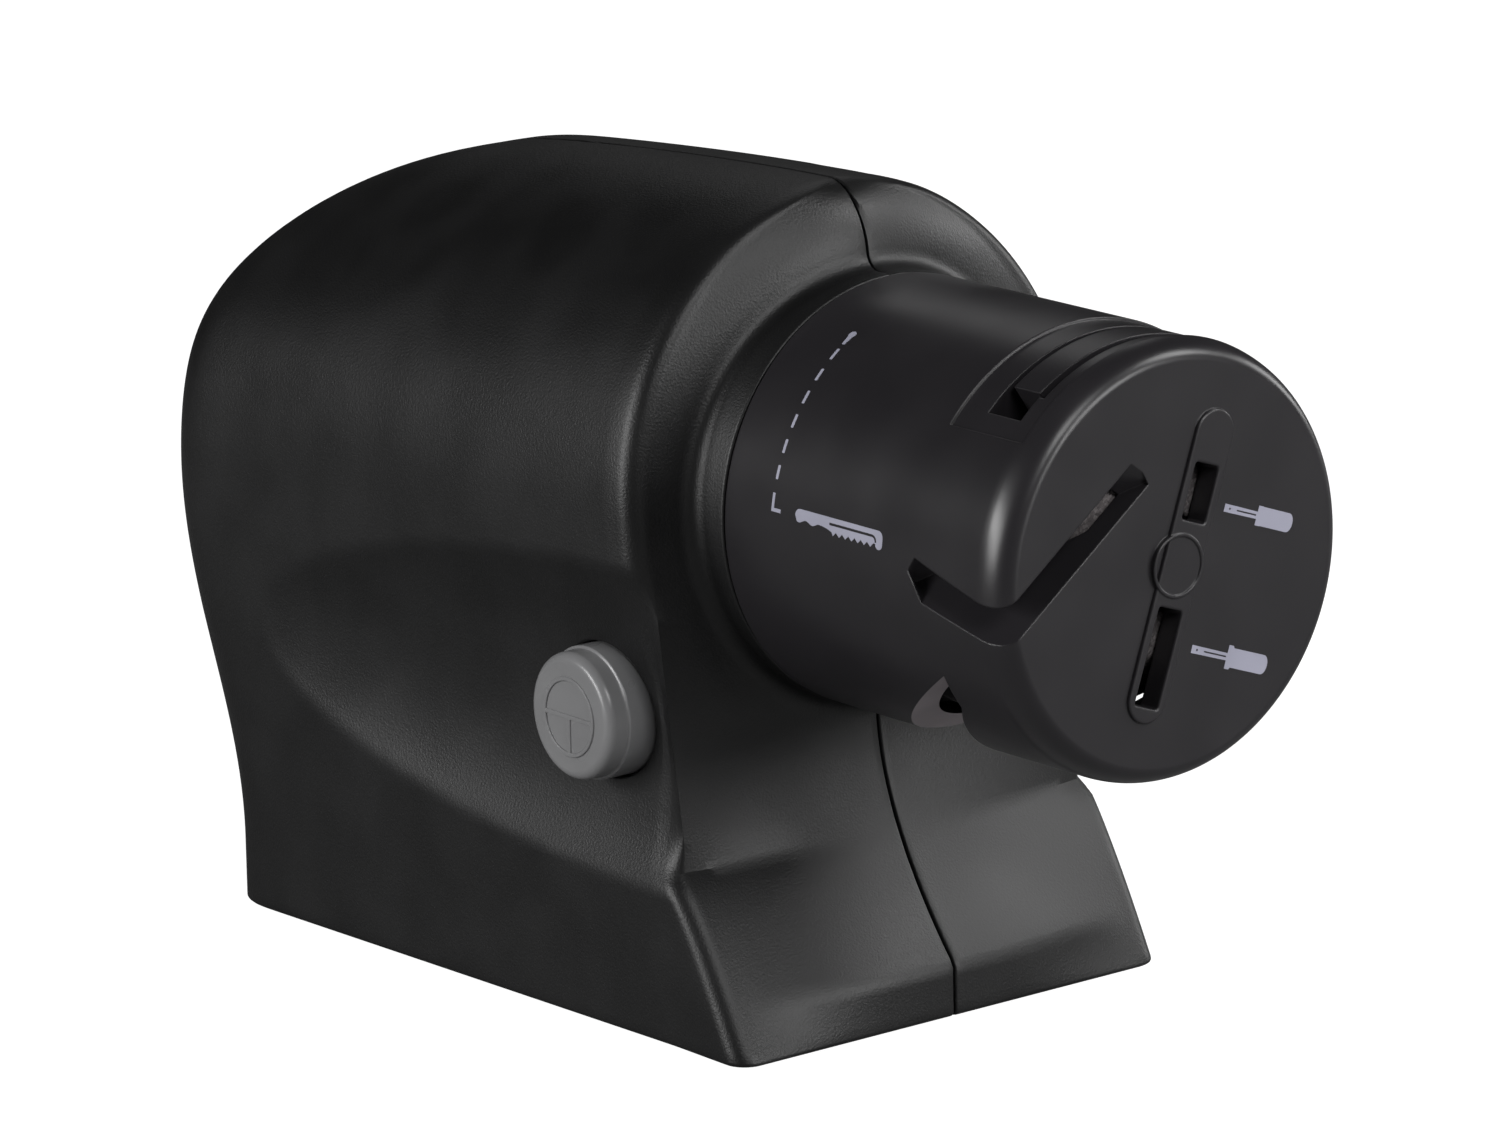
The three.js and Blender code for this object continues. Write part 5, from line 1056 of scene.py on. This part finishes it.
dash_shapes = []
for turn_step in range(6):
    low, high = sorted(arc_at(dash_start - dash_pitch * turn_step - np.array([0, dash_span])))
    dash = rounded_oblong(dash_half, low, high, 0.15)
    dash_shapes.append([dash[:, ::-1] + (0, dash_line)])
round_dot = np.radians(np.linspace(-135, 135, 17))
tail = arc_at(dot_angle - dash_span)
dot = np.column_stack([arc_at(dot_angle) + 0.62 * np.cos(round_dot), dash_line + 0.62 * np.sin(round_dot)])
dash_shapes.append([np.concatenate([dot, [(tail, dash_line + dash_half), (tail, dash_line - dash_half)]])])
top_arc, low_arc = arc_at(corner_angles[0]), arc_at(corner_angles[1])
near_edge, far_edge, hook = dash_line - dash_half, dash_line + dash_half, dash_line - 1.7
dash_shapes.append([[
    (top_arc, far_edge), (low_arc, far_edge), (low_arc, hook),
    (low_arc + 2 * dash_half, hook), (low_arc + 2 * dash_half, near_edge), (top_arc, near_edge),
]])
ink = moulded("pale_ink", (0.37, 0.37, 0.46), (0.44, 0.44, 0.54), 0.5, 0.25, 0.003)
knife_marks = inked("knife_marks", [*dash_shapes, knife_outline()], lay_on_cap, ink_strip)
driver_marks = inked("driver_marks", [
    driver_outline(5.3, 11.4, 18.1, 8.9, 0.55, 1.3, 0.05),
    driver_outline(5.8, 12.4, 20.0, -10.3, 0.55, 1.32, 0.3),
], lay_on_face)
for marks in (knife_marks, driver_marks):
    dress(marks, ink)
    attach(marks, "guide_cap")

# The push button
# A semi-gloss mid-grey ABS cap on a stem, with a raised ring, bar and stroke on its face.
# A flange behind the housing's port keeps it in, and a coil spring pushes it out.
button_radius, button_edge = 9.4, 1.4
button_face, button_flange, button_end = -42.2, -30.6, -29.2
stem_radius, stem_end = 2.0, -21.2
skirt_radius, button_roof = 7.7, -40.5
front_radius, step_place = 8.95, -38.9


def turned(radius, distance, centre, axis, count):
    """Points round a line through the centre along an axis: at each distance, the radius
    times the cosine and sine of the turn."""
    turn = np.linspace(0, 2 * np.pi, count + 1)[:-1]
    first, second = [i for i in range(3) if i != axis]
    points = np.empty((len(distance), count, 3))
    points[..., first] = centre[first] + radius * np.cos(turn)
    points[..., second] = centre[second] + radius * np.sin(turn)
    points[..., axis] = distance
    return points


def spun(outline, centre, axis, count):
    """A surface of revolution from pairs of radius and distance."""
    outline = np.asarray(outline, float)
    return turned(outline[:, :1], outline[:, 1:], centre, axis, count)


def spun_piece(name, outline, centre, axis, count):
    """One closed solid of revolution as an object."""
    solid = Surface()
    solid.patch(spun(outline, centre, axis, count), closed=True)
    return solid.build(name)


def quarter_arc(radius, distance, size, start, steps=6):
    """A quarter circle in an outline, as pairs of radius and distance about its centre."""
    turn = np.radians(start) + np.linspace(0, np.pi / 2, steps)
    return np.column_stack([radius + size * np.cos(turn), distance + size * np.sin(turn)]).tolist()


button_outline = [
    *quarter_arc(front_radius - button_edge, button_face + button_edge, button_edge, -90, 10),
    (front_radius, step_place - 0.3), (front_radius + 0.08, step_place - 0.08),
    *quarter_arc(button_radius - 0.22, step_place + 0.22, 0.22, -90, 4),
    (button_radius, button_flange - 0.4), (button_radius + 0.12, button_flange - 0.12),
    (button_radius + 0.4, button_flange),
    *quarter_arc(button_radius + 1.55, button_flange + 0.25, 0.25, -90, 4),
    *quarter_arc(button_radius + 1.55, button_end - 0.25, 0.25, 0, 4),
    (skirt_radius, button_end), *quarter_arc(skirt_radius - 0.5, button_roof + 0.5, 0.5, -90, 4)[::-1],
    *quarter_arc(stem_radius + 0.5, button_roof + 0.5, 0.5, -180, 4)[::-1],
    (stem_radius, stem_end - 0.3), (stem_radius - 0.3, stem_end), (0, stem_end),
]
button_solid = Surface()
button_rings = spun(button_outline, (0, button_y, button_z), 0, 96)
button_solid.patch(button_rings, closed=True)
button_solid.polygon(button_rings[0])
button = button_solid.build("button")


def settle(piece, angle):
    """Merges points that cuts left almost in one place, and smooths up to an angle."""
    work = bmesh.new()
    work.from_mesh(piece.data)
    bmesh.ops.remove_doubles(work, verts=work.verts, dist=0.0005 * MM)
    bmesh.ops.dissolve_degenerate(work, edges=work.edges, dist=0.0005 * MM)
    work.to_mesh(piece.data)
    work.free()
    smooth_up_to(piece, angle)


def raised_bar(name, half_y, low_z, high_z, front, back):
    """A bar of the button's mark: an oblong with round corners, narrowed at its front."""
    rings = []
    for inset, x in ((0.0, back), (0.0, front + 0.1), (0.03, front + 0.03), (0.1, front)):
        outline = rounded_oblong(half_y - inset, low_z + inset, high_z - inset, 0.12)
        rings.append(np.column_stack([np.full(len(outline), x), outline + (button_y, button_z)]))
    return Surface().bar(rings).build(name)


mark_front, mark_back, mark_in, mark_out = button_face - 0.25, button_face + 0.6, 5.05, 5.65
carve(button, spun_piece("button_ring", [
    (mark_in, mark_back), (mark_in, mark_front + 0.1), (mark_in + 0.1, mark_front),
    (mark_out - 0.1, mark_front), (mark_out, mark_front + 0.1), (mark_out, mark_back), (mark_in, mark_back),
], (0, button_y, button_z), 0, 96), "UNION")
for label, half_y, low_z, high_z in (("bar", 5.3, -0.32, 0.32), ("stroke", 0.36, -5.3, 0.0)):
    carve(button, raised_bar(f"button_{label}", half_y, low_z, high_z, mark_front + 0.06, mark_back), "UNION")
settle(button, 32)
button_plastic = moulded(
    "semi_gloss_grey_plastic", (0.23, 0.23, 0.235), (0.26, 0.26, 0.265), 0.28, 0.2, 0.002, edge=0.12)
dress(button, button_plastic)
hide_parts("button_cap")
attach(button, "push_button")

# The feet
# Four round pads of black rubber, pressed into recesses in the housing's floor. Each stands
# proud by its edge's height and has a shallow dimple from its mould.
foot_radius, foot_top = 4.4, 0.8
rubber = moulded("black_rubber", (0.012, 0.012, 0.012), (0.02, 0.02, 0.019), 0.8, 0.3, 0.012, specular=0.35)
for foot_name, foot_x, foot_y in (
    ("front_left", -28.0, -24.0), ("front_right", 28.0, -24.0),
    ("rear_left", -26.0, 72.4), ("rear_right", 26.0, 72.4),
):
    foot = spun_piece(f"pad_{foot_name}", [
        (0, -foot_height + 0.2), (2.4, -foot_height + 0.2), (2.8, -foot_height + 0.08), (3.1, -foot_height),
        *quarter_arc(foot_radius - 0.5, -foot_height + 0.5, 0.5, -90),
        *quarter_arc(foot_radius - 0.3, foot_top - 0.3, 0.3, 0, 4), (0, foot_top),
    ], (foot_x, foot_y, 0), 2, 56)
    dress(foot, rubber)
    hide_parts(f"foot_{foot_name}")
    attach(foot, "housing")

# The battery cover
# A flat lid of the housing's plastic that closes the bay in the floor, with three grip grooves
# near its back edge, an arrow that shows the way it opens, and two stiffening ribs inside.
cover_front, cover_back, cover_half, cover_thickness = 5.8, 67.1, 31.75, 2.0
cover_middle = (cover_front + cover_back) / 2


def plate(name, outline_at_inset, low, high, edge):
    """A flat plate: its outline at each inset, with a quarter circle at the low edge."""
    levels_at = [(edge * (1 - np.sin(turn)), low + edge * (1 - np.cos(turn))) for turn in quarter]
    rings = []
    for inset, level in [*levels_at, (0.0, high)]:
        outline = outline_at_inset(inset)
        rings.append(np.column_stack([outline, np.full(len(outline), level)]))
    return Surface().bar(rings).build(name)


def oblong_at(middle_y, half_x, half_y, corner):
    """The outline of an oblong at each inset, with corners that shrink with it."""
    def at(inset):
        """The oblong drawn in by an inset, about its middle."""
        return rounded_oblong(half_x - inset, -half_y + inset, half_y - inset, corner - inset) + (0, middle_y)
    return at


lid_outline = oblong_at(cover_middle, cover_half, (cover_back - cover_front) / 2, 1.2)
cover = plate("bay_lid", lid_outline, 0.0, cover_thickness, 0.4)
for rib_share in (0.25, 0.75):
    rib_y = cover_front + (cover_back - cover_front) * rib_share
    carve(cover, plate("lid_rib", oblong_at(rib_y, cover_half - 1.7, 0.7, 0.3), 1.0, 4.0, 0.1), "UNION")
for groove in range(3):
    groove_y = cover_back - 10 + 2.5 * groove + 0.5
    carve(cover, plate("lid_groove", oblong_at(groove_y, 9.0, 0.5, 0.45), -0.6, 1.0, 0.1), "DIFFERENCE")
arrow = np.array([(0.0, 4.0), (-3.0, 0.0), (-1.0, 0.0), (-1.0, -4.0), (1.0, -4.0), (1.0, 0.0), (3.0, 0.0)])
arrow_place = (0, cover_back - 17)
arrow_tool = plate("lid_arrow", lambda inset: arrow * (1 - inset / 4) + arrow_place, -0.6, 0.35, 0.05)
carve(cover, arrow_tool, "DIFFERENCE")
settle(cover, 32)
dress(cover, housing_plastic)
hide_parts("battery_cover")
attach(cover, "bay_cover")

# The grinding wheel
# A stone of pinkish-grey bonded grit with a bevelled nose, a recess for its screw and a bore
# that fits the hub. It shows only through the slots and the dust notch.
wheel_radius, wheel_nose, wheel_bore, wheel_recess = 21.0, 13.0, 5.4, 7.2
hub_front = wheel_front + 3.4
head_centre = (0, 0, head_axis)
wheel = spun_piece("stone_wheel", [
    (wheel_bore, wheel_back), (wheel_bore, hub_front), (wheel_recess, hub_front),
    (wheel_recess, wheel_front + 0.3),
    (wheel_recess + 0.3, wheel_front), (wheel_nose - 0.4, wheel_front), (wheel_nose, wheel_front + 0.15),
    (wheel_nose + 0.3, wheel_front + 0.35),
    (wheel_radius - 0.3, bevel_back - 0.35), (wheel_radius - 0.05, bevel_back),
    (wheel_radius, bevel_back + 0.4), (wheel_radius, wheel_back - 0.4), (wheel_radius - 0.4, wheel_back),
    (wheel_bore, wheel_back),
], head_centre, 1, 96)


def bonded_grit(name, colours, size, depth):
    """Bonded abrasive: cells of one size, each with its own tone, that stand up as grains with
    pores between them."""
    material, tree, shader = finish_of(name)
    place = add_node(tree, "ShaderNodeTexCoord")
    scaled = add_node(tree, "ShaderNodeVectorMath", operation="SCALE", Scale=1 / (size * MM))
    grains = add_node(tree, "ShaderNodeTexVoronoi", Scale=1.0)
    pores = add_node(tree, "ShaderNodeTexNoise", Scale=0.45, Detail=3.0)
    height = add_node(tree, "ShaderNodeMath", operation="MULTIPLY")
    relief = add_node(tree, "ShaderNodeBump", Strength=1.0, Distance=depth * MM)
    relief.invert = True
    tone = add_node(tree, "ShaderNodeSeparateColor")
    join(
        tree,
        (place.outputs["Object"], scaled.inputs[0]),
        (scaled.outputs["Vector"], grains.inputs["Vector"]),
        (scaled.outputs["Vector"], pores.inputs["Vector"]),
        (grains.outputs["Distance"], height.inputs[0]),
        (pores.outputs["Fac"], height.inputs[1]),
        (height.outputs[0], relief.inputs["Height"]),
        (relief.outputs["Normal"], shader.inputs["Normal"]),
        (grains.outputs["Color"], tone.inputs[0]),
    )
    ramp(tree, tone.outputs[0], list(zip((0.0, 0.5, 1.0), colours)), shader.inputs["Base Color"])
    spread(tree, pores.outputs["Fac"], 0.8, 0.95, shader.inputs["Roughness"])
    shader.inputs["Specular IOR Level"].default_value = 0.35
    return material


grit_colours = [(0.09, 0.082, 0.083), (0.15, 0.136, 0.138), (0.24, 0.22, 0.222)]
grit = bonded_grit("pink_grey_grit", grit_colours, 0.35, 0.12)
dress(wheel, grit)
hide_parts("grinding_wheel")
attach(wheel, "rotor")

# The screws
# Zinc-plated steel, driven into the plastic: a low round head with a cross recess, and a shank
# with a thread rolled on it that ends in a blunt point.
CASE_SCREW = (3.0, 2.0, 1.4)
SMALL_SCREW = (2.3, 1.4, 0.95)


def screw(name, node, body, axis, centre, seat, tip, sizes):
    """A pan-head screw. The head is half an ellipse over a short wall. The shank's radius falls
    by a triangle wave of the distance over the pitch less the share of the turn, a thread."""
    head_size, head_height, shank_radius = sizes
    head_wall, sunk, count = 0.35, 0.4, 24
    way = np.sign(tip - seat)
    dome = np.linspace(0, np.pi / 2, 7)
    height = head_wall + (head_height - head_wall) * np.cos(dome)
    outline = np.column_stack([head_size * np.sin(dome), seat - way * height])
    underside = [(head_size, seat - way * 0.08), (head_size - 0.08, seat), (0, seat)]
    head = spun_piece(name, [*outline.tolist(), *underside], centre, axis, 40)
    pitch, thread = 0.9 * shank_radius, 0.22 * shank_radius
    reach = abs(tip - seat) + sunk
    along = np.linspace(0, 1, int(reach / pitch * 8) + 1)[:, None]
    turn = np.linspace(0, 2 * np.pi, count + 1)[:-1]
    wave = np.abs(((along * reach / pitch - turn / (2 * np.pi)) % 1) * 2 - 1)
    radius = (shank_radius - thread * wave) * np.clip((1 - along) * reach / 1.2, 0.25, 1)
    shank = turned(radius, seat - way * sunk + way * along * reach, centre, axis, count)
    carve(head, Surface().bar(shank).build("shank", sharp=60), "UNION")
    first, second = [i for i in range(3) if i != axis]
    corners = np.array([(-1, -1), (1, -1), (1, 1), (-1, 1)])
    for half in ((0.13, 0.62), (0.62, 0.13)):
        rings = np.empty((2, 4, 3))
        for ring, level, narrowed in zip(rings, (head_height + 0.3, 0.45 * head_height), (1.0, 0.7)):
            ring[:, first] = centre[first] + corners[:, 0] * half[0] * head_size * narrowed
            ring[:, second] = centre[second] + corners[:, 1] * half[1] * head_size * narrowed
            ring[:, axis] = seat - way * level
        carve(head, Surface().bar(rings).build("cross"), "DIFFERENCE")
    settle(head, 40)
    dress(head, zinc)
    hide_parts(node)
    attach(head, body)


def bare_metal(name, dark, pale, roughness, size=0.12, depth=0.0015):
    """Metal: a slow mottle in tone and gloss, and a fine grain from rolling or plating."""
    material = moulded(name, dark, pale, roughness, size, depth, edge=0.1)
    material.node_tree.nodes["Principled BSDF"].inputs["Metallic"].default_value = 1.0
    return material


zinc = bare_metal("zinc_plated_steel", (0.42, 0.43, 0.45), (0.55, 0.56, 0.58), 0.32)
case_tip = -9.0
for node, (boss_y, boss_z, _) in zip(("top_front", "top_rear", "base_rear", "base_front"), SCREW_PLACES):
    centre = (0, boss_y, boss_z)
    screw(f"case_screw_{node}", f"shell_screw_{node}", "housing", 0, centre, screw_seat, case_tip, CASE_SCREW)
flange_seat, flange_tip, flange_reach = -56.5, -51.3, 8.0
bracket_seat, bracket_tip, bracket_reach = -19.6, -28.8, 15.0
for label, way in (("lower", -1), ("upper", 1)):
    centre = (0, 0, head_axis + flange_reach * way)
    screw(f"flange_screw_{label}", f"motor_screw_{label}", "housing", 1,
          centre, flange_seat, flange_tip, SMALL_SCREW)
    post = (0, button_y, button_z + bracket_reach * way)
    screw(f"switch_screw_{label}", f"bracket_screw_{label}", "housing", 0,
          post, bracket_seat, bracket_tip, SMALL_SCREW)
washer_front, stone_tip = hub_front - 1.2, hub_front + 7.0
screw("stone_screw", "wheel_screw", "rotor", 1, head_centre, washer_front, stone_tip, SMALL_SCREW)

# The springs
# Drawn round steel wire, wound cold. One pushes the button out, and four narrower ones press
# the cells against their contacts.


def pipe(name, line, outward, radius):
    """A round wire: a circle of one radius, set across the line and carried along it. Each of
    its ends closes over two smaller circles, as a cut end with its edge taken off."""
    tangent = np.gradient(line, axis=0)
    tangent /= np.linalg.norm(tangent, axis=1, keepdims=True)
    outward = outward - tangent * (outward * tangent).sum(1, keepdims=True)
    outward /= np.linalg.norm(outward, axis=1, keepdims=True)
    aside = np.cross(tangent, outward)
    turn = np.linspace(0, 2 * np.pi, 13)[:-1]
    ring = outward[:, None] * np.cos(turn)[:, None] + aside[:, None] * np.sin(turn)[:, None]
    grid = line[:, None] + radius * ring
    wire = Surface()
    wire.patch(grid, closed=True)
    for end, way in ((0, -1), (-1, 1)):
        step = way * tangent[end] * 0.12 * radius
        closing = ((1, 0), (0.92, 0.6), (0.8, 1))
        rings = np.stack([line[end] + radius * share * ring[end] + step * lift for share, lift in closing])
        wire.patch(rings, closed=True)
        wire.polygon(rings[-1])
    return wire.build(name, sharp=50)


def coil_spring(name, start, end, radius, tip, thickness, curls):
    """A helix of wire: its middle turns about the line from start to end, at a reach that
    changes evenly along it."""
    start, end = np.array(start, float), np.array(end, float)
    length = np.linalg.norm(end - start)
    axis = (end - start) / length
    over = np.array([0.0, 0.0, 1.0])
    share = np.linspace(0, 1, curls * 40 + 1)[:, None]
    turn = share * curls * 2 * np.pi
    outward = over * np.cos(turn) + np.cross(axis, over) * np.sin(turn)
    line = start + axis * (thickness / 2 + (length - thickness) * share)
    line = line + outward * (radius + (tip - radius) * share)
    return pipe(name, line, outward, thickness / 2)


spring_steel = bare_metal("drawn_spring_steel", (0.3, 0.3, 0.31), (0.42, 0.42, 0.43), 0.28, 0.1, 0.001)
spring_back, spring_front = -21.8, -40.2
spring_ends = [(x, button_y, button_z) for x in (spring_back, spring_front)]
press_spring = coil_spring("press_spring", *spring_ends, radius=4.9, tip=4.9, thickness=0.9, curls=6)
dress(press_spring, spring_steel)
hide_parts("button_spring")
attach(press_spring, "housing")
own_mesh(press_spring)

CELL_ROWS = [(-22.65, 1), (-7.55, -1), (7.55, 1), (22.65, -1)]
cell_height, cell_radius, cell_body, nub_length, nub_radius = 11.4, 7.1, 49.2, 1.3, 2.6
nub_ends = {1: 64.7, -1: 8.2}
for index, (row, way) in enumerate(CELL_ROWS, 1):
    tail = nub_ends[way] - way * (nub_length + cell_body)
    far, near = tail - way * 6.0, tail - way * 0.3
    ends = [(row, y, cell_height) for y in (far, near)]
    small = coil_spring(f"bay_spring_{index}", *ends, radius=3.6, tip=2.3, thickness=0.7, curls=4)
    dress(small, spring_steel)
    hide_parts(f"battery_spring_{index}")
    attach(small, "housing")

# The four cells
# AA cells in the bay, nose to tail. Each is a steel can in a shrunk sleeve that curls over both
# shoulders, with a band round its plus end and bare metal at both ends.
sleeve = moulded("green_sleeve", (0.018, 0.085, 0.055), (0.026, 0.11, 0.072), 0.26, 0.9, 0.004)
band_sleeve = moulded("silver_band", (0.4, 0.4, 0.39), (0.5, 0.5, 0.49), 0.3, 0.9, 0.004)
can_steel = bare_metal("nickelled_can", (0.5, 0.49, 0.47), (0.62, 0.61, 0.58), 0.22, 0.2, 0.001)
band_length, sleeve_mouth = 13.1, 5.65
for index, (row, way) in enumerate(CELL_ROWS, 1):
    nub_end = nub_ends[way]
    distances = [
        (0, 0), (nub_radius - 0.5, 0), (nub_radius - 0.15, 0.1), (nub_radius, 0.45), (nub_radius, 1.1),
        (nub_radius + 0.3, 1.3), (5.6, 1.45), (5.75, 1.36), (6.1, 1.3), (6.6, 1.36), (6.95, 1.6),
        (cell_radius, 2.0), (cell_radius, band_length - 0.1), (cell_radius, band_length + 0.1),
        (cell_radius, 49.8), (6.95, 50.2), (6.6, 50.45), (6.1, 50.5), (5.8, 50.42), (5.7, 50.2),
        (3.4, 50.2), (3.1, 50.45), (0, 50.45),
    ]
    outline = [(radius, nub_end - way * far) for radius, far in distances]
    cell = spun_piece(f"cell_{index}", outline, (row, 0, cell_height), 1, 64)
    dress(cell, sleeve)
    cell.data.materials.append(can_steel)
    cell.data.materials.append(band_sleeve)
    middles = per_face(cell, "center") / MM - (row, 0, cell_height + foot_height)
    ring_radius = np.hypot(middles[:, 0], middles[:, 2])
    from_nub = way * (nub_end - middles[:, 1])
    kinds = np.where(ring_radius < sleeve_mouth, 1, np.where(from_nub < band_length, 2, 0))
    cell.data.polygons.foreach_set("material_index", kinds.astype(np.int32))
    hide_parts(f"battery_{index}")
    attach(cell, "housing")

# The leads
# Three stranded leads in soft PVC, soldered to their tabs: red from the cells to the switch and
# on to the motor, and black from the cells straight to the motor.


def through(points):
    """A smooth line through points: between two of them a cubic, whose slopes at its ends come
    from the points before and after, spaced by the square root of their distance."""
    points = np.asarray(points, float)
    whole = np.concatenate([[2 * points[0] - points[1]], points, [2 * points[-1] - points[-2]]])
    spans = np.sqrt(np.linalg.norm(np.diff(whole, axis=0), axis=1))[:, None]
    slopes = np.diff(whole, axis=0) / spans
    joined = (whole[2:] - whole[:-2]) / (spans[1:] + spans[:-1])
    middle = slopes[1:-1] * spans[1:-1]
    start = (slopes[:-2] - joined[:-1] + slopes[1:-1]) * spans[1:-1]
    end = (slopes[1:-1] - joined[1:] + slopes[2:]) * spans[1:-1]
    share = np.linspace(0, 1, 15)[:, None, None]
    cubic = points[:-1] + start * share + (3 * middle - 2 * start - end) * share ** 2
    cubic = cubic + (start + end - 2 * middle) * share ** 3
    line = cubic.transpose(1, 0, 2)
    return np.concatenate([line[:, :-1].reshape(-1, 3), points[-1:]])


def carried_normals(line):
    """Directions across a line that don't twist: each is the one before, less its part along
    the line's direction there."""
    tangent = np.gradient(line, axis=0)
    tangent /= np.linalg.norm(tangent, axis=1, keepdims=True)
    normals = [np.cross(tangent[0], (0.3, 0.2, 0.93))]
    for direction in tangent[1:]:
        normals.append(normals[-1] - direction * (direction @ normals[-1]))
        normals[-1] /= np.linalg.norm(normals[-1])
    return np.array(normals)


red_pvc = moulded("red_pvc", (0.36, 0.012, 0.01), (0.45, 0.02, 0.016), 0.34, 0.6, 0.004)
black_pvc = moulded("black_pvc", (0.012, 0.012, 0.012), (0.02, 0.02, 0.02), 0.34, 0.6, 0.004)
lead_radius = 0.8
LEADS = {
    "lead_battery_to_switch": (red_pvc, "lead_red", [
        (22.65, 7.7, 22.9), (20.65, 6.7, 27.6), (7.55, -2.0, 29.6),
        (4.0, -9.0, 35.4), (-1.4, -10.0, 39.4), (-3.4, -10.0, 39.4)]),
    "lead_switch_to_motor": (red_pvc, "lead_red", [
        (-3.4, -10.0, 49.4), (-1.4, -10.0, 49.4), (3.0, -1.0, 52.4),
        (-8.85, 2.1, 67.1), (-8.85, -1.9, 73.1), (-8.85, -4.9, 73.1)]),
    "lead_battery_to_motor": (black_pvc, "lead_black", [
        (-22.65, 7.7, 22.9), (-20.65, 8.7, 27.6), (-7.55, 7.1, 40.0),
        (8.0, 7.1, 61.1), (8.85, -0.9, 73.1), (8.85, -4.9, 73.1)]),
}
for node, (pvc, lead_slot, route) in LEADS.items():
    line = through(route)
    lead = pipe(node.replace("lead", "wire", 1), line, carried_normals(line), lead_radius)
    dress(lead, pvc)
    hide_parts(node)
    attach(lead, "housing")

# The drive and the switch
# The plated motor can with its ferrite magnets, the armature of punched steel sheets on a ground
# shaft, its copper commutator, and the nose, hub, end cap, bracket and switch moulded for them.


def ruled(material, pitch, depth):
    """Adds fine even lines across the Y axis to a material's relief, as turning or stacking
    leaves: a wave of the distance along it."""
    tree = material.node_tree
    relief = next(node for node in tree.nodes if node.bl_idname == "ShaderNodeBump")
    place = next(node for node in tree.nodes if node.bl_idname == "ShaderNodeTexCoord")
    lines = add_node(
        tree, "ShaderNodeTexWave", wave_type="BANDS", bands_direction="Y",
        Scale=math.pi / (10 * pitch * MM), Distortion=0.2, Detail=1.0)
    fine = add_node(tree, "ShaderNodeBump", Strength=1.0, Distance=depth * MM)
    join(
        tree,
        (place.outputs["Object"], lines.inputs["Vector"]),
        (lines.outputs["Fac"], fine.inputs["Height"]),
        (fine.outputs["Normal"], relief.inputs["Normal"]),
    )
    return material


black_abs = moulded(
    "plain_black_plastic", (0.011, 0.011, 0.012), (0.016, 0.016, 0.017), 0.42, 0.3, 0.006, edge=0.15)
white_pom = moulded(
    "natural_white_plastic", (0.56, 0.55, 0.51), (0.63, 0.62, 0.58), 0.36, 0.3, 0.004, edge=0.12)
sheets = ruled(bare_metal("stacked_steel_sheets", (0.24, 0.23, 0.22), (0.36, 0.35, 0.34), 0.4), 0.5, 0.05)
ground_shaft = ruled(bare_metal("ground_shaft_steel", (0.4, 0.4, 0.41), (0.5, 0.5, 0.51), 0.2), 0.09, 0.003)
can_zinc = bare_metal("plated_motor_can", (0.4, 0.41, 0.42), (0.52, 0.53, 0.54), 0.3, 0.35, 0.002)
copper = ruled(bare_metal("turned_copper", (0.6, 0.26, 0.14), (0.72, 0.34, 0.19), 0.3), 0.12, 0.004)
brass = bare_metal("rolled_brass", (0.55, 0.4, 0.16), (0.66, 0.5, 0.22), 0.28, 0.25, 0.001)
nickel = bare_metal("nickelled_strip", (0.45, 0.44, 0.42), (0.57, 0.56, 0.53), 0.25, 0.3, 0.001)
ferrite = moulded("sintered_ferrite", (0.02, 0.02, 0.021), (0.045, 0.044, 0.044), 0.62, 0.16, 0.02)
PLAIN_NODES = {
    black_abs: ["motor_nose", "switch_bracket", "switch_body", "battery_tray"],
    white_pom: ["motor_end_cap", "wheel_hub", "switch_plunger"],
    sheets: ["motor_armature"],
    ground_shaft: ["motor_shaft"],
    can_zinc: ["motor_can"],
    copper: ["motor_commutator"],
    brass: [
        "motor_terminal_left", "motor_terminal_right", "switch_terminal_lower", "switch_terminal_upper",
    ],
    ferrite: ["motor_magnet_left", "motor_magnet_right"],
    nickel: [
        "contact_plate_negative", "contact_plate_positive", "contact_plate_front_bridge",
        "contact_plate_rear_bridge_left", "contact_plate_rear_bridge_right",
    ],
    zinc: ["wheel_washer"],
}
for material, names in PLAIN_NODES.items():
    for node in names:
        dress(node, material)

# The dust seal
# A ring of grey wool felt that wipes the inside of the cap and keeps the dust off the motor.
felt, felt_tree, felt_shader = finish_of("grey_felt")
felt_place = add_node(felt_tree, "ShaderNodeTexCoord")
fibres = add_node(felt_tree, "ShaderNodeTexNoise", Scale=4500.0, Detail=6.0, Roughness=0.7, Distortion=1.6)
tufts = add_node(felt_tree, "ShaderNodeTexNoise", Scale=700.0, Detail=3.0)
pile = add_node(felt_tree, "ShaderNodeBump", Strength=1.0, Distance=0.12 * MM)
join(
    felt_tree,
    (felt_place.outputs["Object"], fibres.inputs["Vector"]),
    (felt_place.outputs["Object"], tufts.inputs["Vector"]),
    (fibres.outputs["Fac"], pile.inputs["Height"]),
    (pile.outputs["Normal"], felt_shader.inputs["Normal"]),
)
felt_stops = [(0.35, (0.13, 0.13, 0.125)), (0.65, (0.2, 0.2, 0.19))]
ramp(felt_tree, tufts.outputs["Fac"], felt_stops, felt_shader.inputs["Base Color"])
spread(felt_tree, fibres.outputs["Fac"], 0.88, 0.98, felt_shader.inputs["Roughness"])
felt_shader.inputs["Sheen Weight"].default_value = 0.4
felt_shader.inputs["Specular IOR Level"].default_value = 0.15
dress("dust_seal", felt)
